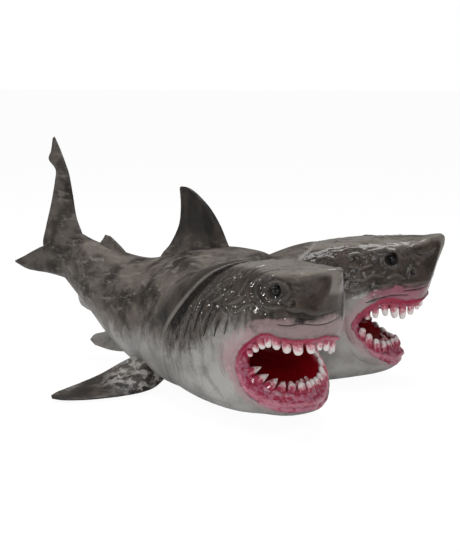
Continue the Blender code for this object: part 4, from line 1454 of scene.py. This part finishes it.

# %% [markdown]
# ## Lines, lips and throat
# One bank of a soft fold is painted shaded and the other painted lit, so the fold looks raised. A
# thin line is black where its signed distance passes zero, as painted shade along grooves, slits
# and creases. The lips are pink with crimson stains and a painted sheen on the rim of the lower
# lip, and the mouth darkens from red to deep red towards the throat.

# %% Lines and mouth
def drawn_lines(paint, colour):
    """Folds, thin lines, seam and sockets; also the height step of a fold and the thin lines."""
    bank = paint.mask("fold_side")
    near_fold = paint.band(paint.mask("fold_gap"), 0.9, 1.6, 1.0, 0.0)
    shaded = paint.times(paint.band(bank, 0.05, 0.45), near_fold)
    lit = paint.times(paint.band(bank, -0.05, -0.40), near_fold)
    on_dark = paint.plus(paint.times(paint.mask("dark"), 0.6), 0.12)
    colour = paint.mix(paint.times(shaded, on_dark), colour, DARK_BROWN)
    colour = paint.mix(paint.times(lit, 0.16), colour, WORN_AND_HIGHLIGHT_GREY)
    # Thin black lines along grooves, slits and creases: painted shade.
    thin = paint.band(paint.math("ABSOLUTE", paint.mask("line_side")), 0.10, 0.36, 1.0, 0.0)
    thin = paint.times(thin, paint.band(paint.mask("line_gap"), 0.55, 0.95, 1.0, 0.0))
    colour = paint.mix(paint.times(thin, 0.92), colour, NEARLY_BLACK)
    # Painted shade in the seam gap.
    colour = paint.mix(paint.mask("seam"), colour, NEARLY_BLACK)
    # Round the eyes partly black paint, partly painted shade; in the nostril pits painted shade.
    colour = paint.mix(paint.mask("socket"), colour, NEARLY_BLACK)
    step = paint.times(paint.band(bank, -0.6, 0.6, 1.0, 0.0), near_fold)
    return colour, step, thin


def mouth_paint(paint, colour, uneven):
    """Lips, gums, mouth and throat; also the share of the lips, for their lumps."""
    lips = paint.band(paint.plus(paint.mask("lips"), uneven), 0.15, 0.85)
    blood = paint.band(paint.noise(4.4, 3.0, 0.6), 0.42, 0.62)
    blood = paint.math("MAXIMUM", blood, paint.mask("upper"))
    lip_colour = paint.mix(blood, LIP_PINK, CRIMSON)
    # A paler pink on the rim of the lower lip: a painted sheen.
    lip_colour = paint.mix(paint.times(paint.mask("rib"), 0.6), lip_colour, TOOTH_PINK_AND_LIP_SHEEN)
    colour = paint.mix(lips, colour, lip_colour)
    spots = paint.band(paint.noise(2.6, 3.0, 0.6), 0.42, 0.60)
    gum_colour = paint.mix(spots, CRIMSON, LIP_PINK)
    gums = paint.band(paint.plus(paint.mask("gums"), uneven), 0.2, 0.9)
    colour = paint.mix(gums, colour, gum_colour)
    colour = paint.mix(paint.mask("mouth"), colour, MOUTH_RED)
    return paint.mix(paint.mask("depth"), colour, THROAT_RED), lips


print("lines and mouth layers are ready")

# %% [markdown]
# ## Paint of a head
# The real heads are varnished, so they shine more than the body. A clear coat does that, and it
# is left out inside the seam and is weaker in the mouth. The bumps, from coarse to fine, stand
# for hide, pebbled gills, grain, veins, lumpy gums, folds and lines.

# %% Head paint
def head_bumps(paint, rough_hide, veins, lips, fold_step, thin):
    outside = paint.math("SUBTRACT", 1.0, paint.mask("mouth"))
    normal = paint.bump(paint.times(paint.noise(3.0, 3.0, 0.6), outside), 0.40)
    normal = paint.bump(paint.times(paint.noise(1.7, 2.0, 0.5), rough_hide), 0.35, normal)
    normal = paint.bump(paint.noise(0.9, 2.0), 0.05, normal)
    normal = paint.bump(veins, 0.40, normal)
    gum_lumps = paint.times(paint.noise(2.2, 2.0, 0.5), paint.times(lips, outside))
    normal = paint.bump(gum_lumps, 1.6, normal)
    normal = paint.bump(fold_step, 0.45, normal)
    return paint.bump(paint.math("SUBTRACT", 1.0, thin), 0.35, normal)


def head_material():
    paint = Paint("painted_glossy_head")
    uneven = paint.band(paint.noise(3.0, 3.0), 0.3, 0.7, -0.22, 0.22)
    colour, rough_hide, veins = head_hide(paint)
    colour = pink_skin(paint, colour, uneven)
    colour, fold_step, thin = drawn_lines(paint, colour)
    colour, lips = mouth_paint(paint, colour, uneven)
    wet = paint.band(paint.mask("mouth"), 0.0, 1.0, 0.60, 0.20)
    out_of_seam = paint.band(paint.mask("seam"), 0.0, 0.6, 1.0, 0.0)
    return paint.wear({
        "Base Color": colour,
        "Roughness": paint.band(paint.noise(4.0, 3.0), 0.3, 0.7, 0.26, 0.44),
        "Specular IOR Level": 0.15,
        "Coat Weight": paint.times(wet, out_of_seam),
        "Coat Roughness": 0.07,
        "Normal": head_bumps(paint, rough_hide, veins, lips, fold_step, thin),
    })


glossy = head_material()
print("head paint has", len(glossy.node_tree.nodes), "nodes")

# %% [markdown]
# ## Paint of teeth and eyes
# The teeth are brushed ivory, with pink and then crimson left at the root. The eyes are nearly
# black and the glossiest thing on the figure.

# %% Teeth and eye paint
def tooth_material():
    paint = Paint("painted_teeth")
    uneven = paint.band(paint.noise(1.8, 2.0), 0.3, 0.7, -0.22, 0.22)
    tip = paint.plus(paint.mask("tip"), uneven)
    colour = paint.mix(paint.band(tip, -0.02, 0.28), CRIMSON, TOOTH_PINK_AND_LIP_SHEEN)
    colour = paint.mix(paint.band(tip, 0.20, 0.62), colour, IVORY)
    return paint.wear({
        "Base Color": colour,
        "Roughness": 0.28,
        "Coat Weight": 0.6,
        "Coat Roughness": 0.06,
        "Normal": paint.bump(paint.noise(1.3, 2.0), 0.10),
    })


def eye_material():
    paint = Paint("glossy_black_eyes")
    colour = paint.mix(paint.band(paint.noise(2.0, 2.0), 0.4, 0.6), EYE_BLACK, EYE_BROWN)
    return paint.wear({"Base Color": colour, "Roughness": 0.08, "Specular IOR Level": 0.30})


enamel = tooth_material()
black = eye_material()
print("teeth and eye paints have", len(enamel.node_tree.nodes), len(black.node_tree.nodes), "nodes")

# %% [markdown]
# ## Put the materials on
# The real figure needs four looks, and each piece wears one of them.

# %% Put the materials on
body_things = [body_skin] + fin_objects
for things, material in ((body_things, hide), (heads, glossy), (teeth, enamel), (eyes, black)):
    for thing in things:
        thing.data.materials.clear()
        thing.data.materials.append(material)
print("four materials on", sum(map(len, (body_things, heads, teeth, eyes))), "pieces")

# %% [markdown]
# ## Give the pieces to the frame
# The real heads are glued into their collars and nothing moves, so every piece rides on the one
# body, `root`. The skins of the body and of the two heads stand in for the three solids.

# %% Ride and replace
for thing in body_things:
    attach(thing, "root")
for k, side in enumerate(("right", "left")):
    for thing in (heads[k], teeth[k], eyes[k]):
        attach(thing, "root")
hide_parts("body")
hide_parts("right_head")
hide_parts("left_head")
print("three solids have their skins")

# %% [markdown]
# ## The floor
# The photograph has a white ground with only a faint shadow. A plain white floor would turn grey
# under the lamps. So to the camera the floor is mostly a white glow, with a little of the real
# surface mixed in, which keeps the shadow. To other rays it is an ordinary pale floor.

# %% Floor
FLOOR_HALF = 30.0
FLOOR_GAP = 0.0002
FLOOR_SHOWN = 0.90
GLOW_STRENGTH = 1.06
floor_mesh = bpy.data.meshes.new("floor")
corners = [(-FLOOR_HALF, -FLOOR_HALF, 0), (FLOOR_HALF, -FLOOR_HALF, 0),
           (FLOOR_HALF, FLOOR_HALF, 0), (-FLOOR_HALF, FLOOR_HALF, 0)]
floor_mesh.from_pydata(corners, [], [(0, 1, 2, 3)])
floor = bpy.data.objects.new("floor", floor_mesh)
floor.location.z = box_before[0][2] - FLOOR_GAP
bpy.context.collection.objects.link(floor)
ground = Paint("pale_floor")
ground.wear({"Base Color": (0.85, 0.85, 0.85), "Roughness": 0.9})
glow = ground.nodes.new("ShaderNodeEmission")
glow.inputs["Color"].default_value = (1, 1, 1, 1)
glow.inputs["Strength"].default_value = GLOW_STRENGTH
blend = ground.nodes.new("ShaderNodeMixShader")
rays = ground.nodes.new("ShaderNodeLightPath")
seen = ground.math("MAXIMUM", rays.outputs["Is Camera Ray"], rays.outputs["Is Transmission Ray"])
ground.links.new(ground.times(seen, FLOOR_SHOWN), blend.inputs["Fac"])
ground.links.new(ground.shader.outputs["BSDF"], blend.inputs[1])
ground.links.new(glow.outputs["Emission"], blend.inputs[2])
ground.links.new(blend.outputs["Shader"], ground.nodes["Material Output"].inputs["Surface"])
floor_mesh.materials.append(ground.material)
print("floor at", round(floor.location.z, 4), "m")

# %% [markdown]
# ## The surroundings
# The studio round the real figure is white and evenly lit. The camera sees the world as white.
# The light that falls on the figure, and what its gloss mirrors, is a plain lower level, which
# fills the shadows without washing out the paint.

# %% World
WORLD_LEVEL = 0.24
world = bpy.data.worlds.new("studio")
bpy.context.scene.world = world
world.use_nodes = True
tree = world.node_tree
sky = tree.nodes["Background"]
rays = tree.nodes.new("ShaderNodeLightPath")
most = tree.nodes.new("ShaderNodeMath")
most.operation = "MAXIMUM"
tree.links.new(rays.outputs["Is Camera Ray"], most.inputs[0])
tree.links.new(rays.outputs["Is Transmission Ray"], most.inputs[1])
level = tree.nodes.new("ShaderNodeMapRange")
level.inputs["To Min"].default_value = WORLD_LEVEL
level.inputs["To Max"].default_value = 1.0
tree.links.new(most.outputs[0], level.inputs["Value"])
tree.links.new(level.outputs[0], sky.inputs["Strength"])
sky.inputs["Color"].default_value = (1, 1, 1, 1)
print("the figure is lit by a world of", WORLD_LEVEL)

# %% [markdown]
# ## The lamps
# The shadow in the photograph is soft and lies under the figure, so the main light is a wide box
# overhead, with a weaker one in front. The small white sparkles on the wet paint need small
# bright lamps, because a wide one would leave milky patches. There are four of them.

# %% Lamps
LAMP_AIM = (0.05, 0, 0.05)
GLINT_ASPECT = 0.6
GLINTS = (("side_glint", (-0.54, -0.52, 0.24), 0.05, 0.45),
          ("crown_glint", (-0.50, -0.24, 0.50), 0.045, 0.45),
          ("high_glint", (0.17, -0.66, 0.42), 0.045, 0.45),
          ("right_glint", (0.55, -0.15, 0.50), 0.035, 0.5))


def area_lamp(name, place, target, size, power):
    data = bpy.data.lights.new(name, "AREA")
    data.shape = "RECTANGLE"
    data.size, data.size_y = size
    data.energy = power
    lamp = bpy.data.objects.new(name, data)
    lamp.location = place
    lamp.rotation_euler = (Vector(target) - Vector(place)).to_track_quat("-Z", "Y").to_euler()
    bpy.context.collection.objects.link(lamp)


area_lamp("overhead_softbox", (0.00, 0.05, 0.75), (0.02, 0, 0.03), (0.50, 0.40), 4.2)
area_lamp("front_softbox", (0.48, -0.62, 0.26), (0.05, -0.02, 0.04), (0.30, 0.30), 0.9)
for name, place, size, power in GLINTS:
    area_lamp(name, place, LAMP_AIM, (size, size * GLINT_ASPECT), power)
print("lamps:", 2 + len(GLINTS))

# %% [markdown]
# ## The camera
# The render has to lie over the photograph, so the camera stands in the fitted place. Blender
# measures a lens in millimetres on a sensor, so the focal length in pixels is turned into that.
# The plain view transform keeps the paints as they were set.

# %% Camera
SENSOR_MM = 36
camera_data = bpy.data.cameras.new("camera")
camera_data.sensor_width = SENSOR_MM
camera_data.lens = FOCAL_PIXELS / PHOTO_SIZE[1] * SENSOR_MM
camera_data.clip_start = 0.01
camera = bpy.data.objects.new("camera", camera_data)
camera.location = CAMERA_PLACE * MM
camera.rotation_euler = Vector(-TO_CAMERA).to_track_quat("-Z", "Y").to_euler()
bpy.context.collection.objects.link(camera)
bpy.context.scene.camera = camera
bpy.context.scene.view_settings.view_transform = "Standard"
print("lens", round(camera_data.lens, 1), "mm")

# %% [markdown]
# The skins may not grow past the solids that they stand for.
